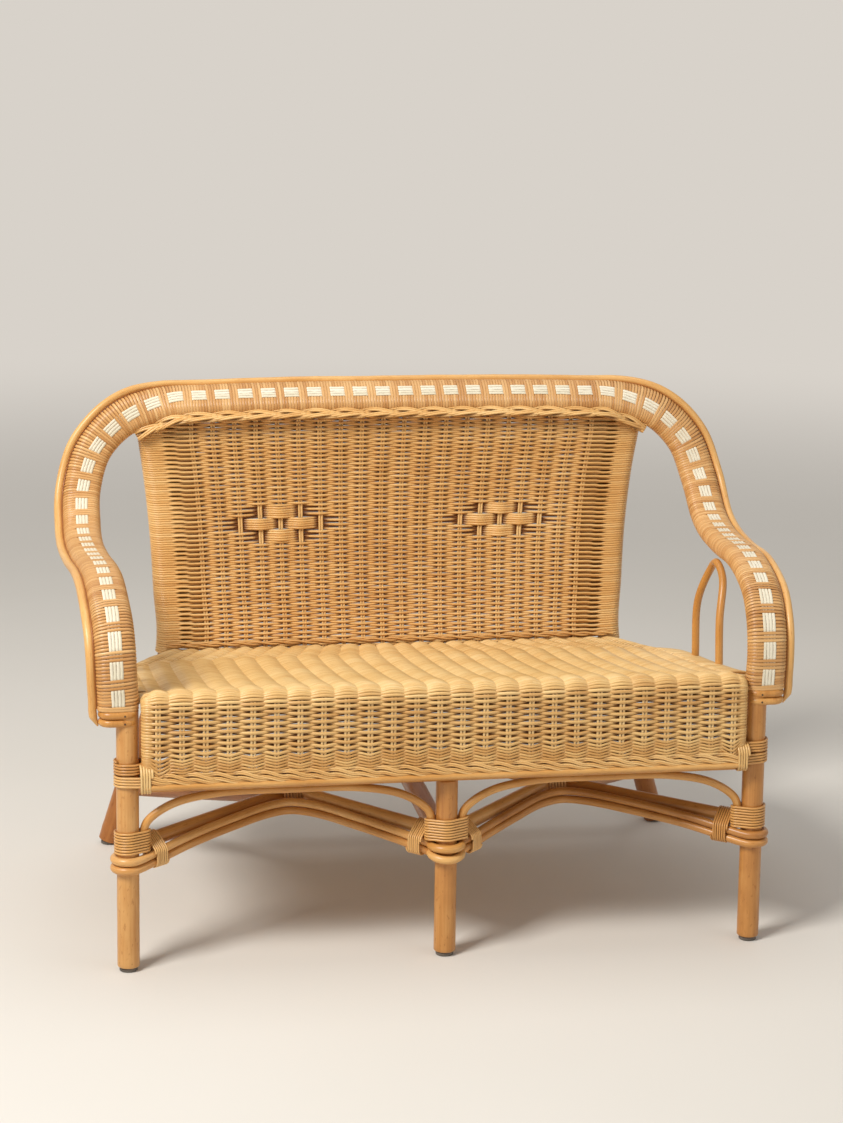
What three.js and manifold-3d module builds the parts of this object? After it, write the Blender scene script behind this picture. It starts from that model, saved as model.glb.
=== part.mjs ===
// Rattan garden sofa: round poles, bent canes, a woven seat and back, and a wound rim.
// Millimetres, +Z up. The sitting side faces -Y, and the left end is at -X.
import * as THREE from 'three';
import { mergeVertices } from 'three/addons/utils/BufferGeometryUtils.js';
import Module from 'manifold-3d';

// Driving dimensions: the whole frame
const legSpacing = 920;
const legX = legSpacing / 2;
const frameDepth = 555;
const seatHeight = 411.5;
const seatBackShare = 0.8092;
const seatBackZ = seatBackShare * seatHeight;
const armHeight = 541;
const backHeight = 741;
const clearance = 0.3;

// Legs and poles
const legRadius = 16;
const rearLegRadius = 17;
const rearLegSteps = 16;
const glideHeight = 6;
const glideRadius = 13;
const glideRoughness = 0.8;
const poleSides = 10;
const legSides = 16;
const caneSides = 6;

// Rear legs, which run on upwards as the posts of the back, on the right-hand side:
// shares of the half spacing and the depth, and the level, 1 at the back of the seat and 2 at the rim
const rearLegShares = [
  [1.0043, 1, 0.0189],
  [0.95, 0.9883, 0.2703],
  [0.7913, 0.9532, 1],
  [0.7978, 0.9694, 1.2377],
  [0.8087, 0.982, 1.4583],
  [0.8283, 0.9838, 1.6789],
  [0.85, 0.9748, 1.8505],
];

// Rim: centre line of the right-hand half, from the top of the front leg to the middle of the back:
// shares of the half spacing and the depth, and the level, 1 at the arm and 2 at the top of the back
const rimBottomDrop = 24.9;
const rimShares = [
  [1.0283, 0, 0],
  [1.0283, 0, 0.0868],
  [1.0315, 0.0018, 0.2811],
  [1.0348, 0.018, 0.5402],
  [1.0391, 0.0523, 0.7215],
  [1.0457, 0.1081, 0.8575],
  [1.0587, 0.2703, 1],
  [1.0848, 0.5405, 0.9741],
  [1.0978, 0.7027, 1.0025],
  [1.1, 0.7892, 1.085],
  [1.0935, 0.8847, 1.335],
  [1.05, 0.9243, 1.63],
  [0.95, 0.9423, 1.86],
  [0.8087, 0.9568, 1.9675],
  [0.6522, 0.9604, 1.9875],
  [0.3261, 0.964, 2],
  [0, 0.964, 2],
];
const rimHalfWidth = 29.5;
const rimHalfDepth = 15;
const rimSideSteps = 28;
const bandEndSteps = 4;
const splitShareStep = 0.001;
const rimTopSteps = 12;
const rimSplitShare = 0.6522;
const rimTilt = THREE.MathUtils.degToRad(47);
const rimTiltShares = { start: 1.0326, full: 0.7174 };
const rimTurnShare = 0.8468;
const outerCaneRadius = 6;
const outerCaneClearance = 0.6;
const outerCaneDrop = 24;
const outerCaneTipLean = 3;
const stripHalfWidth = 10;
const stripThickness = 1.2;
const stripClearance = 0.6;
const braidRadius = 6;
const backBraidForward = 3;
const backBraidTuck = 1.5;
const backBraidStartShare = 0.682;
const backBraidSteps = 18;

// Collar rolls under the ends of the rim
const collarHeight = 11;
const collarHalfLength = 28.5;
const collarHalfDepth = 19;
const collarRounding = 2.5;
const collarSteps = 3;

// Seat: profile of the woven top from the back edge to the front, as shares of the depth and the height
const seatProfileShares = [
  [0.9117, 0.819],
  [0.7928, 0.8299],
  [0.5946, 0.8627],
  [0.3964, 0.904],
  [0.2162, 0.9453],
  [0.0901, 0.9793],
  [0.018, 0.9964],
];
const seatRollY = -8;
const seatRollRadius = 22.5;
const seatRollZ = seatHeight - seatRollRadius;
const seatThickness = 8.5;
const apronDepth = 124.5;
const apronBottomZ = seatHeight - apronDepth;
const seatLegGap = 1.6;
const seatFrontHalfWidth = legX - legRadius - seatLegGap;
const seatMiddleShares = [-1, -0.82, -0.5, 0, 0.5, 0.82, 1];
const seatRowShares = [0, 0.1, 0.19, 0.3, 0.56, 0.82, 0.89, 0.95, 1];
const seatRollSteps = 4;

// Ribs of the weave over its doubled stakes: how many, how far apart, and how high
const seatRibs = { count: 26, pitchShare: 0.0733, height: 3.2, edgeGap: 20 };
const backRibs = { count: 20, pitchShare: 0.0885, height: 2.7 };

// Edges of the seat, and the rails in them
const seatSideDrop = 8;
const sideDropShares = { start: [-0.018, 0.1081], end: [0.7748, 0.8919] };
const edgeMeetingShares = [0.0396, 0.0829];
const sideRailRadius = 10;
const railStartGap = 7;
const sideRailSlopeStep = 4;
const railEndGap = 1.2;
const curlClearance = 1.9;
const curlSteps = 5;
const curlShares = { start: [0.0685, 0.1532], end: [0.7748, 0.8757] };
const leastCurl = 0.004;
const sideCurl = THREE.MathUtils.degToRad(140);
const sideRailShares = [
  [0.0306, 0.9978],
  [0.1081, 0.9989],
  [0.6306, 0.9989],
  [0.7117, 0.9848],
  [0.7784, 0.9348],
  [0.8342, 0.8696],
  [0.9117, 0.8],
];
const frontTopRailRadius = 13;
const frontBottomRailRadius = 9;
const frontBraidY = seatRollY - seatRollRadius + braidRadius / 2;
const frontBraidZ = apronBottomZ - braidRadius - clearance;
const frontBottomRailGap = 0.5;
const frontBottomRailY = frontBraidY + braidRadius + frontBottomRailGap + frontBottomRailRadius;
const frontBottomRailDrop = 2;
const frontBottomRailZ = apronBottomZ - frontBottomRailDrop - frontBottomRailRadius;
const rearRailShare = 0.9225;
const rearRailY = rearRailShare * frameDepth;
const rearRailDrop = 16;
const rearRailZ = seatBackZ - rearRailDrop;

// Back panel
const backThickness = 9;
const backRollInner = 18.6;
const backRollOuter = 22.5;
const backBottomDrop = 4.2;
const backBottomZ = seatBackZ - backBottomDrop;
const backTopDrop = 30;
const backTopZ = backHeight - backTopDrop;
const backCornerDrop = 26;
const backCornerShares = { start: 0.6522, end: 0.8913 };
const backBulge = 20;
const backBulgeShare = 0.4872;
const backBulgeZ = THREE.MathUtils.lerp(backBottomZ, backTopZ, backBulgeShare);
const backRollWrap = THREE.MathUtils.degToRad(205);
const backRollSteps = 9;
const backRows = 5;

// Hairpin supports between the seat sides and the arms
const hairpinRadius = 6;
const hairpinPlaceShare = 0.4595;
const hairpinY = hairpinPlaceShare * frameDepth;
const hairpinHalfWidth = 66;
const hairpinShoulderLevelShare = 0.52;
const hairpinFootXShare = 0.9978;
const hairpinTopXShare = 1.0217;
const hairpinGap = 0.7;
const hairpinShoulderShare = 0.93;
const hairpinBendShare = 0.52;
const hairpinBendDropShare = 0.28;
const hairpinFootShare = 0.17;
const hairpinSteps = 20;

// Under-frame
const diagonalRadius = 10.5;
const diagonalZShare = 0.469;
const diagonalZ = diagonalZShare * seatHeight;
const crossingShares = [0.4435, 0.3604];
const crossingX = crossingShares[0] * legX;
const crossingY = crossingShares[1] * frameDepth;
const centerPoleRadius = 16;
const centerPoleGap = 0.5;
const centerPoleZ = diagonalZ - diagonalRadius - centerPoleGap - centerPoleRadius;
const diagonalEndShare = 0.6631;
const rearStretcherRadius = 11;
const diagonalEndGap = 5;
const rearDiagonalEndShare = 0.4974;
const rearDiagonalSteps = 5;
const rearDiagonalShares = [
  [0.513, 0.3423, 0.9845],
  [0.6174, 0.4865, 0.8653],
];
const bentCaneRadius = 6;
const hookClearance = 1.5;
const hookUpperDrop = 26.2;
const hookUpperZ = diagonalZ - hookUpperDrop;
const hookGap = 0.8;
const hookLowerZ = hookUpperZ - 2 * bentCaneRadius - hookGap;
const archRise = 20.5;
const archPeakShare = 0.4543;
const archPeakForward = 39;
const hookStart = THREE.MathUtils.degToRad(115);
const hookSteps = 9;
const bentCaneSteps = 32;
const middleRingSteps = 14;

// Bent canes beside the poles: share of the way to the crossing, and offset to the front
const archOffset = 17.4;
const archOffsetNearLeg = 18.9;
const archOffsetAtRing = 20.4;
const besideOuterPoleShares = [
  [0.3078, archOffsetNearLeg],
  [0.5849, archOffset],
  [0.8065, archOffset],
];
const besideInnerPoleShares = [
  [0.7911, archOffset],
  [0.5251, archOffset],
  [0.245, archOffsetNearLeg],
  [0.1271, archOffsetAtRing],
];

// Front braces: shares of the half spacing inwards from the leg, and of the rise from the joint to the top
const braceRadius = 6;
const braceClearance = 0.7;
const braceTopGap = 0.6;
const braceTopZ = frontBottomRailZ - frontBottomRailRadius - braceTopGap - braceRadius;
const braceFootAbove = 7.7;
const braceFootZ = hookUpperZ + braceFootAbove;
const braceSteps = 26;
const braceBendShares = [
  [0.0152, 0.281],
  [0.0913, 0.7115],
  [0.2283, 0.9615],
];

// Windings: strand radius, pitch and number of loops
const jointWinding = { strand: 2, pitch: 4.7, loops: 7 };
const sideWinding = { strand: 1.6, pitch: 3.8, loops: 6 };
const crossingWinding = { strand: 1.8, pitch: 4.2, loops: 6 };
const cornerWinding = { strand: 2, pitch: 4.7, loops: 5 };
const loopSteps = 12;
const strandSides = 4;
const windingClearance = 0.7;
const jointWindingGap = 2.7;
const jointWindingZ = hookUpperZ + bentCaneRadius + jointWindingGap;
const jointTopZ = jointWindingZ + jointWinding.loops * jointWinding.pitch;
const cornerWindingAbove = 3;
const cornerWindingZ = apronBottomZ + cornerWindingAbove;
const outerWindingRun = 57;
const innerWindingRun = 55;
const sideWindingRiseShare = 0.36;
const sideWindingForward = 2.5;
const sideWindingPolePad = 0;
const sideWindingCanePad = 1.5;

// Colours
const colours = {
  pole: 0xd29a5b,
  dark: 0xa9713d,
  cane: 0xdcae6c,
  winding: 0xc88f4e,
  weave: 0xd9ab68,
  back: 0xcd9a58,
  strip: 0xf1e8cf,
  glide: 0x6f6a64,
};

const wasm = await Module();
wasm.setup();

const sofa = new THREE.Group();

// Adds one sub-part to the sofa
function add(name, geometry, colour, roughness = 0.55) {
  const material = new THREE.MeshStandardMaterial({ color: colour, roughness, metalness: 0 });
  const mesh = new THREE.Mesh(geometry, material);
  mesh.name = name;
  sofa.add(mesh);
  return mesh;
}

// Small vector helpers
function smoothCurve(points) {
  return new THREE.CatmullRomCurve3(points, false, 'centripetal');
}

// A place given by shares of the half spacing and the depth, at a height
function framePoint([xShare, yShare], z, side = 1) {
  return new THREE.Vector3(side * xShare * legX, yShare * frameDepth, z);
}

// A height from its level: 0, 1 and 2 stand for the three given heights
function levelHeight(level, low, middle, high) {
  const upper = level > 1;
  return THREE.MathUtils.lerp(upper ? middle : low, upper ? high : middle, upper ? level - 1 : level);
}

function smoothStep(from, to, value) {
  return THREE.MathUtils.smoothstep(value, from, to);
}

// Reads a list of pairs as a piecewise smooth function
function along(pairs, value) {
  for (let i = 1; i < pairs.length; i += 1) {
    if (value <= pairs[i][0]) {
      const share = (value - pairs[i - 1][0]) / (pairs[i][0] - pairs[i - 1][0]);
      return THREE.MathUtils.lerp(pairs[i - 1][1], pairs[i][1], Math.max(share, 0));
    }
  }
  return pairs[pairs.length - 1][1];
}

// A closed mesh from points and triangles, turned so that its faces point out
function closedMesh(points, triangles) {
  let volume = 0;
  for (const [a, b, c] of triangles) {
    volume += points[a].dot(new THREE.Vector3().crossVectors(points[b], points[c]));
  }
  const turned = volume < 0 ? triangles.map(([a, b, c]) => [a, c, b]) : triangles;
  const geometry = new THREE.BufferGeometry();
  const flat = points.flatMap((p) => [p.x, p.y, p.z]);
  geometry.setAttribute('position', new THREE.Float32BufferAttribute(flat, 3));
  geometry.setIndex(turned.flat());
  geometry.computeVertexNormals();
  return geometry;
}

// Joins rings of points into one closed body with flat ends
function loft(rings) {
  const count = rings[0].length;
  const points = rings.flat();
  const triangles = [];
  for (let r = 0; r + 1 < rings.length; r += 1) {
    for (let i = 0; i < count; i += 1) {
      const a = r * count + i;
      const b = r * count + ((i + 1) % count);
      triangles.push([a, b, b + count], [a, b + count, a + count]);
    }
  }
  const last = (rings.length - 1) * count;
  for (let i = 1; i + 1 < count; i += 1) {
    triangles.push([0, i + 1, i], [last, last + i, last + i + 1]);
  }
  return closedMesh(points, triangles);
}

// A closed slab between two grids of points, rows of columns, with as many rows in both
function slab(outer, inner) {
  const points = [...outer.flat(), ...inner.flat()];
  const triangles = [...gridFaces(outer, 0), ...gridFaces(inner, outer.flat().length, true)];
  const innerEdges = gridEdges(inner, outer.flat().length);
  gridEdges(outer, 0).forEach((edge, i) => {
    triangles.push(...stitch(points, edge, innerEdges[i]));
  });
  return closedMesh(points, triangles);
}

function gridFaces(grid, start, turned = false) {
  const columns = grid[0].length;
  const triangles = [];
  for (let r = 0; r + 1 < grid.length; r += 1) {
    for (let c = 0; c + 1 < columns; c += 1) {
      const a = start + r * columns + c;
      const b = a + 1;
      const d = a + columns;
      const e = d + 1;
      triangles.push(...(turned ? [[a, e, b], [a, d, e]] : [[a, b, e], [a, e, d]]));
    }
  }
  return triangles;
}

// The four edges of a grid, each as the numbers of its points, in order round it
function gridEdges(grid, start) {
  const columns = grid[0].length;
  const across = grid[0].map((_, c) => start + c);
  const down = grid.map((_, r) => start + r * columns);
  const lastRow = (grid.length - 1) * columns;
  return [
    across,
    down.map((a) => a + columns - 1),
    across.map((a) => a + lastRow).reverse(),
    [...down].reverse(),
  ];
}

// Joins two rows of points side by side, which may differ in number
function stitch(points, first, second) {
  const triangles = [];
  const reach = (a, b) => (a === undefined || b === undefined ? Infinity : points[a].distanceTo(points[b]));
  let i = 0;
  let j = 0;
  while (i + 1 < first.length || j + 1 < second.length) {
    if (reach(first[i + 1], second[j]) <= reach(first[i], second[j + 1])) {
      triangles.push([first[i + 1], first[i], second[j]]);
      i += 1;
    } else {
      triangles.push([first[i], second[j], second[j + 1]]);
      j += 1;
    }
  }
  return triangles;
}

// A tube along a curve, with flat ends
function tube(curve, radius, steps, sides = caneSides) {
  const corners = [];
  for (let i = 0; i < sides; i += 1) {
    const angle = (i / sides) * 2 * Math.PI;
    corners.push(new THREE.Vector2(radius * Math.cos(angle), radius * Math.sin(angle)));
  }
  const settings = { steps, bevelEnabled: false, extrudePath: curve };
  return new THREE.ExtrudeGeometry(new THREE.Shape(corners), settings);
}

// A straight pole between two points
function pole(from, to, radius, sides = poleSides) {
  return tube(new THREE.LineCurve3(from, to), radius, 1, sides);
}

// Manifold solids, for coped ends and holes
function solid(geometry) {
  const bare = geometry.clone();
  bare.deleteAttribute('normal');
  bare.deleteAttribute('uv');
  const merged = mergeVertices(bare);
  const mesh = new wasm.Mesh({
    numProp: 3,
    vertProperties: new Float32Array(merged.attributes.position.array),
    triVerts: new Uint32Array(merged.index.array),
  });
  return new wasm.Manifold(mesh);
}

function fromSolid(body) {
  const mesh = body.getMesh();
  const geometry = new THREE.BufferGeometry();
  geometry.setAttribute('position', new THREE.BufferAttribute(mesh.vertProperties, 3));
  geometry.setIndex(new THREE.BufferAttribute(mesh.triVerts, 1));
  geometry.computeVertexNormals();
  return geometry;
}

// Cuts a shape by others and keeps its largest piece
function cut(geometry, ...tools) {
  let body = solid(geometry);
  for (const tool of tools) {
    body = body.subtract(solid(tool));
  }
  const pieces = body.decompose();
  pieces.sort((a, b) => b.volume() - a.volume());
  return fromSolid(pieces[0]);
}

// Front legs with their glides
const rimBottomZ = seatHeight - rimBottomDrop;
const outerLegTopZ = rimBottomZ - clearance;
const middleLegTopZ = frontBottomRailZ - frontBottomRailRadius - clearance;

function frontLeg(name, x, topZ) {
  const bottom = glideHeight + clearance;
  const height = topZ - bottom;
  const leg = new THREE.CylinderGeometry(legRadius, legRadius, height, legSides);
  const mesh = add(`front_leg_${name}`, leg, colours.pole);
  mesh.rotation.x = Math.PI / 2;
  mesh.position.set(x, 0, bottom + height / 2);
}

function glide(name, x, y) {
  const disc = new THREE.CylinderGeometry(glideRadius, glideRadius, glideHeight, poleSides);
  const mesh = add(`foot_glide_${name}`, disc, colours.glide, glideRoughness);
  mesh.rotation.x = Math.PI / 2;
  mesh.position.set(x, y, glideHeight / 2);
}

frontLeg('left', -legX, outerLegTopZ);
frontLeg('middle', 0, middleLegTopZ);
frontLeg('right', legX, outerLegTopZ);
glide('front_left', -legX, 0);
glide('front_middle', 0, 0);
glide('front_right', legX, 0);

// Rim frame: position, tangent, outward face normal and width direction at each sample
const rimHalf = smoothCurve(rimShares.map((share) => (
  framePoint(share, levelHeight(share[2], rimBottomZ, armHeight, backHeight))
)));
const rimTurnY = rimTurnShare * frameDepth;

function rimFrame(share) {
  const centre = rimHalf.getPointAt(share);
  const tangent = rimHalf.getTangentAt(share);
  const sideways = new THREE.Vector3(1, 0, 0);
  const forward = new THREE.Vector3(0, -1, 0);
  const onArm = new THREE.Vector3().crossVectors(sideways, tangent).normalize();
  const onBack = forward.clone().addScaledVector(tangent, -forward.dot(tangent)).normalize();
  const turn = smoothStep(rimTurnY - 2 * rimHalfWidth, rimTurnY + rimHalfDepth, centre.y);
  const face = onArm.lerp(onBack, turn);
  face.addScaledVector(tangent, -face.dot(tangent)).normalize();
  const width = new THREE.Vector3().crossVectors(tangent, face).normalize();
  const across = -centre.x / legX;
  const onTop = centre.y > rimTurnY ? smoothStep(-rimTiltShares.start, -rimTiltShares.full, across) : 0;
  const tilt = rimTilt * onTop;
  const tilted = face.clone().multiplyScalar(Math.cos(tilt)).addScaledVector(width, Math.sin(tilt));
  width.multiplyScalar(Math.cos(tilt)).addScaledVector(face, -Math.sin(tilt));
  return { centre, tangent, face: tilted, width };
}

// The same frame mirrored to the left-hand half
function mirrored(frame) {
  const flip = (v) => new THREE.Vector3(-v.x, v.y, v.z);
  return { centre: flip(frame.centre), face: flip(frame.face), width: flip(frame.width) };
}

function findSplit() {
  let share = 0.5;
  while (rimHalf.getPointAt(share).x > rimSplitShare * legX) {
    share += splitShareStep;
  }
  return share;
}

const splitShare = findSplit();
const rimSide = [];
for (let i = 0; i <= rimSideSteps; i += 1) {
  rimSide.push(rimFrame((splitShare * i) / rimSideSteps));
}
const rimTopHalf = [];
for (let i = 0; i <= rimTopSteps / 2; i += 1) {
  rimTopHalf.push(rimFrame(splitShare + ((1 - splitShare) * 2 * i) / rimTopSteps));
}
const rimTop = [...rimTopHalf, ...rimTopHalf.slice(0, -1).reverse().map(mirrored)];
const rimWhole = [...rimSide.slice(0, -1), ...rimTop, ...rimSide.slice(0, -1).reverse().map(mirrored)];

// A body swept along rim frames, its section given as offsets across and out of the band
function rimSweep(frames, section) {
  return loft(frames.map((frame) => section.map(([across, out]) => frame.centre.clone()
    .addScaledVector(frame.width, across)
    .addScaledVector(frame.face, out))));
}

function stadium(halfWidth, halfDepth, steps) {
  const section = [];
  for (const end of [1, -1]) {
    for (let i = 0; i <= steps; i += 1) {
      const angle = Math.PI * (i / steps - 0.5) + (end < 0 ? Math.PI : 0);
      const across = end * (halfWidth - halfDepth) + halfDepth * Math.cos(angle);
      section.push([across, halfDepth * Math.sin(angle)]);
    }
  }
  return section;
}

// Frames shortened by the clearance at the ends, so that butted lengths do not touch
function trimmed(frames) {
  const copy = frames.map((frame) => ({ ...frame, centre: frame.centre.clone() }));
  for (const [end, next] of [[0, 1], [copy.length - 1, copy.length - 2]]) {
    const inward = copy[next].centre.clone().sub(copy[end].centre).normalize();
    copy[end].centre.addScaledVector(inward, clearance / 2);
  }
  return copy;
}

// Section of the band, with the edges of the strip that lies on it
function bandSection(extra) {
  const depth = rimHalfDepth + extra;
  const section = stadium(rimHalfWidth + extra, depth, bandEndSteps);
  section.splice(bandEndSteps + 1, 0, [stripHalfWidth, depth], [-stripHalfWidth, depth]);
  return section;
}

const stripOut = rimHalfDepth + stripClearance;
const stripSection = [
  [stripHalfWidth, stripOut],
  [-stripHalfWidth, stripOut],
  [-stripHalfWidth, stripOut + stripThickness],
  [stripHalfWidth, stripOut + stripThickness],
];
const rimLengths = { left: rimSide.map(mirrored), top: rimTop, right: rimSide };
for (const [name, frames] of Object.entries(rimLengths)) {
  add(`rim_band_${name}`, rimSweep(trimmed(frames), bandSection(0)), colours.winding);
  add(`white_strip_${name}`, rimSweep(trimmed(frames), stripSection), colours.strip);
}
const fatRims = Object.values(rimLengths).map((frames) => rimSweep(frames, bandSection(clearance)));

// Natural outer cane along the whole rim, hanging below it at both ends
const outerCaneOffset = rimHalfWidth + outerCaneClearance + outerCaneRadius;
const outerCaneSection = [];
for (let i = 0; i < caneSides; i += 1) {
  const angle = ((i + 1 / 2) / caneSides) * 2 * Math.PI;
  const across = outerCaneRadius * Math.cos(angle);
  outerCaneSection.push([outerCaneOffset + across, outerCaneRadius * Math.sin(angle)]);
}

// A frame below the end of the rim, for the cane's cut tip
function tipFrame(frame) {
  const centre = frame.centre.clone();
  centre.x -= Math.sign(centre.x) * outerCaneTipLean;
  centre.z -= outerCaneDrop;
  return { ...frame, centre };
}

const caneFrames = [tipFrame(rimWhole[0]), ...rimWhole, tipFrame(rimWhole[rimWhole.length - 1])];
add('rim_outer_cane', rimSweep(caneFrames, outerCaneSection), colours.cane);

// Braid along the top of the back, following the under edge of the rim
const backBraidOffset = rimHalfWidth - backBraidTuck + clearance + braidRadius;
const braidHalf = [];
for (let i = 0; i <= backBraidSteps / 2; i += 1) {
  braidHalf.push(rimFrame(THREE.MathUtils.lerp(backBraidStartShare, 1, (2 * i) / backBraidSteps)));
}
const braidFrames = [...braidHalf, ...braidHalf.slice(0, -1).reverse().map(mirrored)];
const backBraidPoints = braidFrames.map((frame) => frame.centre.clone()
  .addScaledVector(frame.width, -backBraidOffset)
  .addScaledVector(frame.face, backBraidForward));
const backBraid = tube(smoothCurve(backBraidPoints), braidRadius, backBraidSteps);
add('back_top_braid', cut(backBraid, ...fatRims), colours.back);

// Collar rolls round the leg under each end of the rim
function collar(name, x, side, bottomZ) {
  const middle = bottomZ + collarHeight / 2;
  const rings = [];
  for (let i = 0; i <= collarSteps; i += 1) {
    const height = (2 * i) / collarSteps - 1;
    const inset = collarRounding * height * height;
    const outline = stadium(collarHalfLength - inset, collarHalfDepth - inset, 5);
    rings.push(outline.map(([across, deep]) => new THREE.Vector3(
      x + across,
      deep,
      middle + (height * collarHeight) / 2,
    )));
  }
  const holeRadius = legRadius + clearance;
  const hole = new THREE.CylinderGeometry(holeRadius, holeRadius, 2 * backHeight, legSides);
  hole.rotateX(Math.PI / 2);
  hole.translate(side * legX, 0, 0);
  add(name, cut(loft(rings), hole), colours.cane);
}

const collarX = rimShares[0][0] * legX;
const upperCollarZ = rimBottomZ - clearance - collarHeight;
const lowerCollarZ = upperCollarZ - clearance - collarHeight;
for (const [side, word] of [[-1, 'left'], [1, 'right']]) {
  collar(`collar_roll_upper_${word}`, side * collarX, side, upperCollarZ);
  collar(`collar_roll_lower_${word}`, side * collarX, side, lowerCollarZ);
}

// Rear legs, bent below the seat and carried up as the posts of the back
function rearLegCurve(side) {
  return smoothCurve(rearLegShares.map((share) => (
    framePoint(share, levelHeight(share[2], 0, seatBackZ, backHeight), side)
  )));
}

for (const [side, word] of [[-1, 'left'], [1, 'right']]) {
  const leg = tube(rearLegCurve(side), rearLegRadius, rearLegSteps, poleSides);
  const floor = new THREE.BoxGeometry(legSpacing * 2, legSpacing * 2, legSpacing);
  floor.translate(0, 0, glideHeight + clearance - legSpacing / 2);
  add(`rear_leg_${word}`, cut(leg, ...fatRims, floor), colours.dark);
  const foot = framePoint(rearLegShares[0], 0, side);
  glide(`rear_${word}`, foot.x, foot.y);
}

// Centre of a rear leg at a height
function rearLegAt(z, side = 1) {
  const spots = rearLegCurve(1).getPoints(200);
  let best = spots[0];
  for (const spot of spots) {
    if (Math.abs(spot.z - z) < Math.abs(best.z - z)) {
      best = spot;
    }
  }
  return new THREE.Vector3(best.x * side, best.y, z);
}

function fatRearLeg(side) {
  return tube(rearLegCurve(side), rearLegRadius + clearance, rearLegSteps, poleSides);
}

// Seat: profile samples with their normals, back to front, over the front roll and down the apron
function seatSamples() {
  const top = new THREE.SplineCurve([
    ...seatProfileShares.map(([y, z]) => new THREE.Vector2(y * frameDepth, z * seatHeight)),
    new THREE.Vector2(seatRollY, seatRollZ + seatRollRadius),
  ]);
  const samples = seatRowShares.map((share) => top.getPointAt(share)).map((p) => ({ y: p.x, z: p.y }));
  for (let i = 1; i <= seatRollSteps; i += 1) {
    const angle = (Math.PI / 2) * (i / seatRollSteps);
    samples.push({
      y: seatRollY - seatRollRadius * Math.sin(angle),
      z: seatRollZ + seatRollRadius * Math.cos(angle),
    });
  }
  samples.push({ y: seatRollY - seatRollRadius, z: apronBottomZ });
  return samples.map((sample, i) => {
    const before = samples[Math.max(i - 1, 0)];
    const after = samples[Math.min(i + 1, samples.length - 1)];
    const length = Math.hypot(after.y - before.y, after.z - before.z);
    return { ...sample, ny: (after.z - before.z) / length, nz: -(after.y - before.y) / length };
  });
}

function sideRailX(y) {
  return legX * along(sideRailShares, y / frameDepth);
}

// How much wider a round rail is across a row, where it runs aslant
function rowStretch(y) {
  const step = sideRailSlopeStep;
  const slope = (sideRailX(y + step) - sideRailX(y - step)) / (2 * step);
  return Math.hypot(1, slope);
}

// Goes from zero to one and back to zero along the seat
function comeAndGo({ start, end }, y) {
  const share = y / frameDepth;
  return smoothStep(start[0], start[1], share) * (1 - smoothStep(end[0], end[1], share));
}

// How far the woven edge sinks below the middle at a place along the seat
function sideDropAt(y) {
  return seatSideDrop * comeAndGo(sideDropShares, y);
}

// Ribs over the stakes of a weave: places from the middle, and whether each is a hollow between two
function ribPlaces({ count, pitchShare }, halfWidth) {
  const places = [];
  for (let i = 0; i <= 2 * (count - 1); i += 1) {
    places.push({ x: ((i - (count - 1)) / 2) * pitchShare * halfWidth, hollow: i % 2 });
  }
  return places;
}

const curlRadius = sideRailRadius + curlClearance + seatThickness;
const seatRows = seatSamples();
const seatRibPlaces = ribPlaces(seatRibs, legX);
const lastSeatRib = seatRibPlaces[seatRibPlaces.length - 1].x;

// Places across a row of the seat: ribbed on its upper face, plain below
function seatMiddle(edgeX, ribbed) {
  if (!ribbed) {
    return seatMiddleShares.map((share) => ({ x: edgeX * share, hollow: 0 }));
  }
  const narrowing = Math.min(1, (edgeX - seatRibs.edgeGap) / lastSeatRib);
  return [
    { x: -edgeX, hollow: 0 },
    ...seatRibPlaces.map(({ x, hollow }) => ({ x: x * narrowing, hollow })),
    { x: edgeX, hollow: 0 },
  ];
}

function seatGrid(depth, ribbed) {
  return seatRows.map((row) => {
    const drop = sideDropAt(row.y);
    const meeting = smoothStep(...edgeMeetingShares, row.y / frameDepth);
    const edgeX = THREE.MathUtils.lerp(seatFrontHalfWidth, sideRailX(row.y), meeting);
    const curl = sideCurl * comeAndGo(curlShares, row.y);
    const stretch = rowStretch(row.y);
    const radius = curlRadius - depth;
    const points = [];
    const place = (x, inward) => points.push(new THREE.Vector3(
      x,
      row.y - row.ny * inward,
      row.z - row.nz * inward,
    ));
    for (let i = curlSteps; i > 0; i -= 1) {
      const angle = (curl * i) / curlSteps + leastCurl * i;
      place(-edgeX - radius * stretch * Math.sin(angle), drop + curlRadius - radius * Math.cos(angle));
    }
    for (const { x, hollow } of seatMiddle(edgeX, ribbed)) {
      place(x, drop * Math.abs(x / edgeX) ** 4 + depth + hollow * seatRibs.height);
    }
    for (let i = 1; i <= curlSteps; i += 1) {
      const angle = (curl * i) / curlSteps + leastCurl * i;
      place(edgeX + radius * stretch * Math.sin(angle), drop + curlRadius - radius * Math.cos(angle));
    }
    return points;
  });
}

// Rails that carry the seat: the side rails follow the rows of the seat
function sideRail(side, radius) {
  const start = collarHalfDepth + railStartGap;
  const rows = seatRows.filter((row) => row.y > start);
  const next = seatRows[rows.length];
  const last = rows[rows.length - 1];
  const share = (last.y - start) / (last.y - next.y);
  const first = {};
  for (const key of ['y', 'z', 'ny', 'nz']) {
    first[key] = THREE.MathUtils.lerp(last[key], next[key], share);
  }
  return loft([...rows, first].map((row) => {
    const inward = sideDropAt(row.y) + curlRadius;
    const ring = [];
    for (let i = 0; i < poleSides; i += 1) {
      const angle = (i / poleSides) * 2 * Math.PI;
      const across = radius * Math.sin(angle) * rowStretch(row.y);
      const lift = radius * Math.cos(angle) - inward;
      ring.push(new THREE.Vector3(
        side * (sideRailX(row.y) + across),
        row.y + row.ny * lift,
        row.z + row.nz * lift,
      ));
    }
    return ring;
  }));
}

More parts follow.
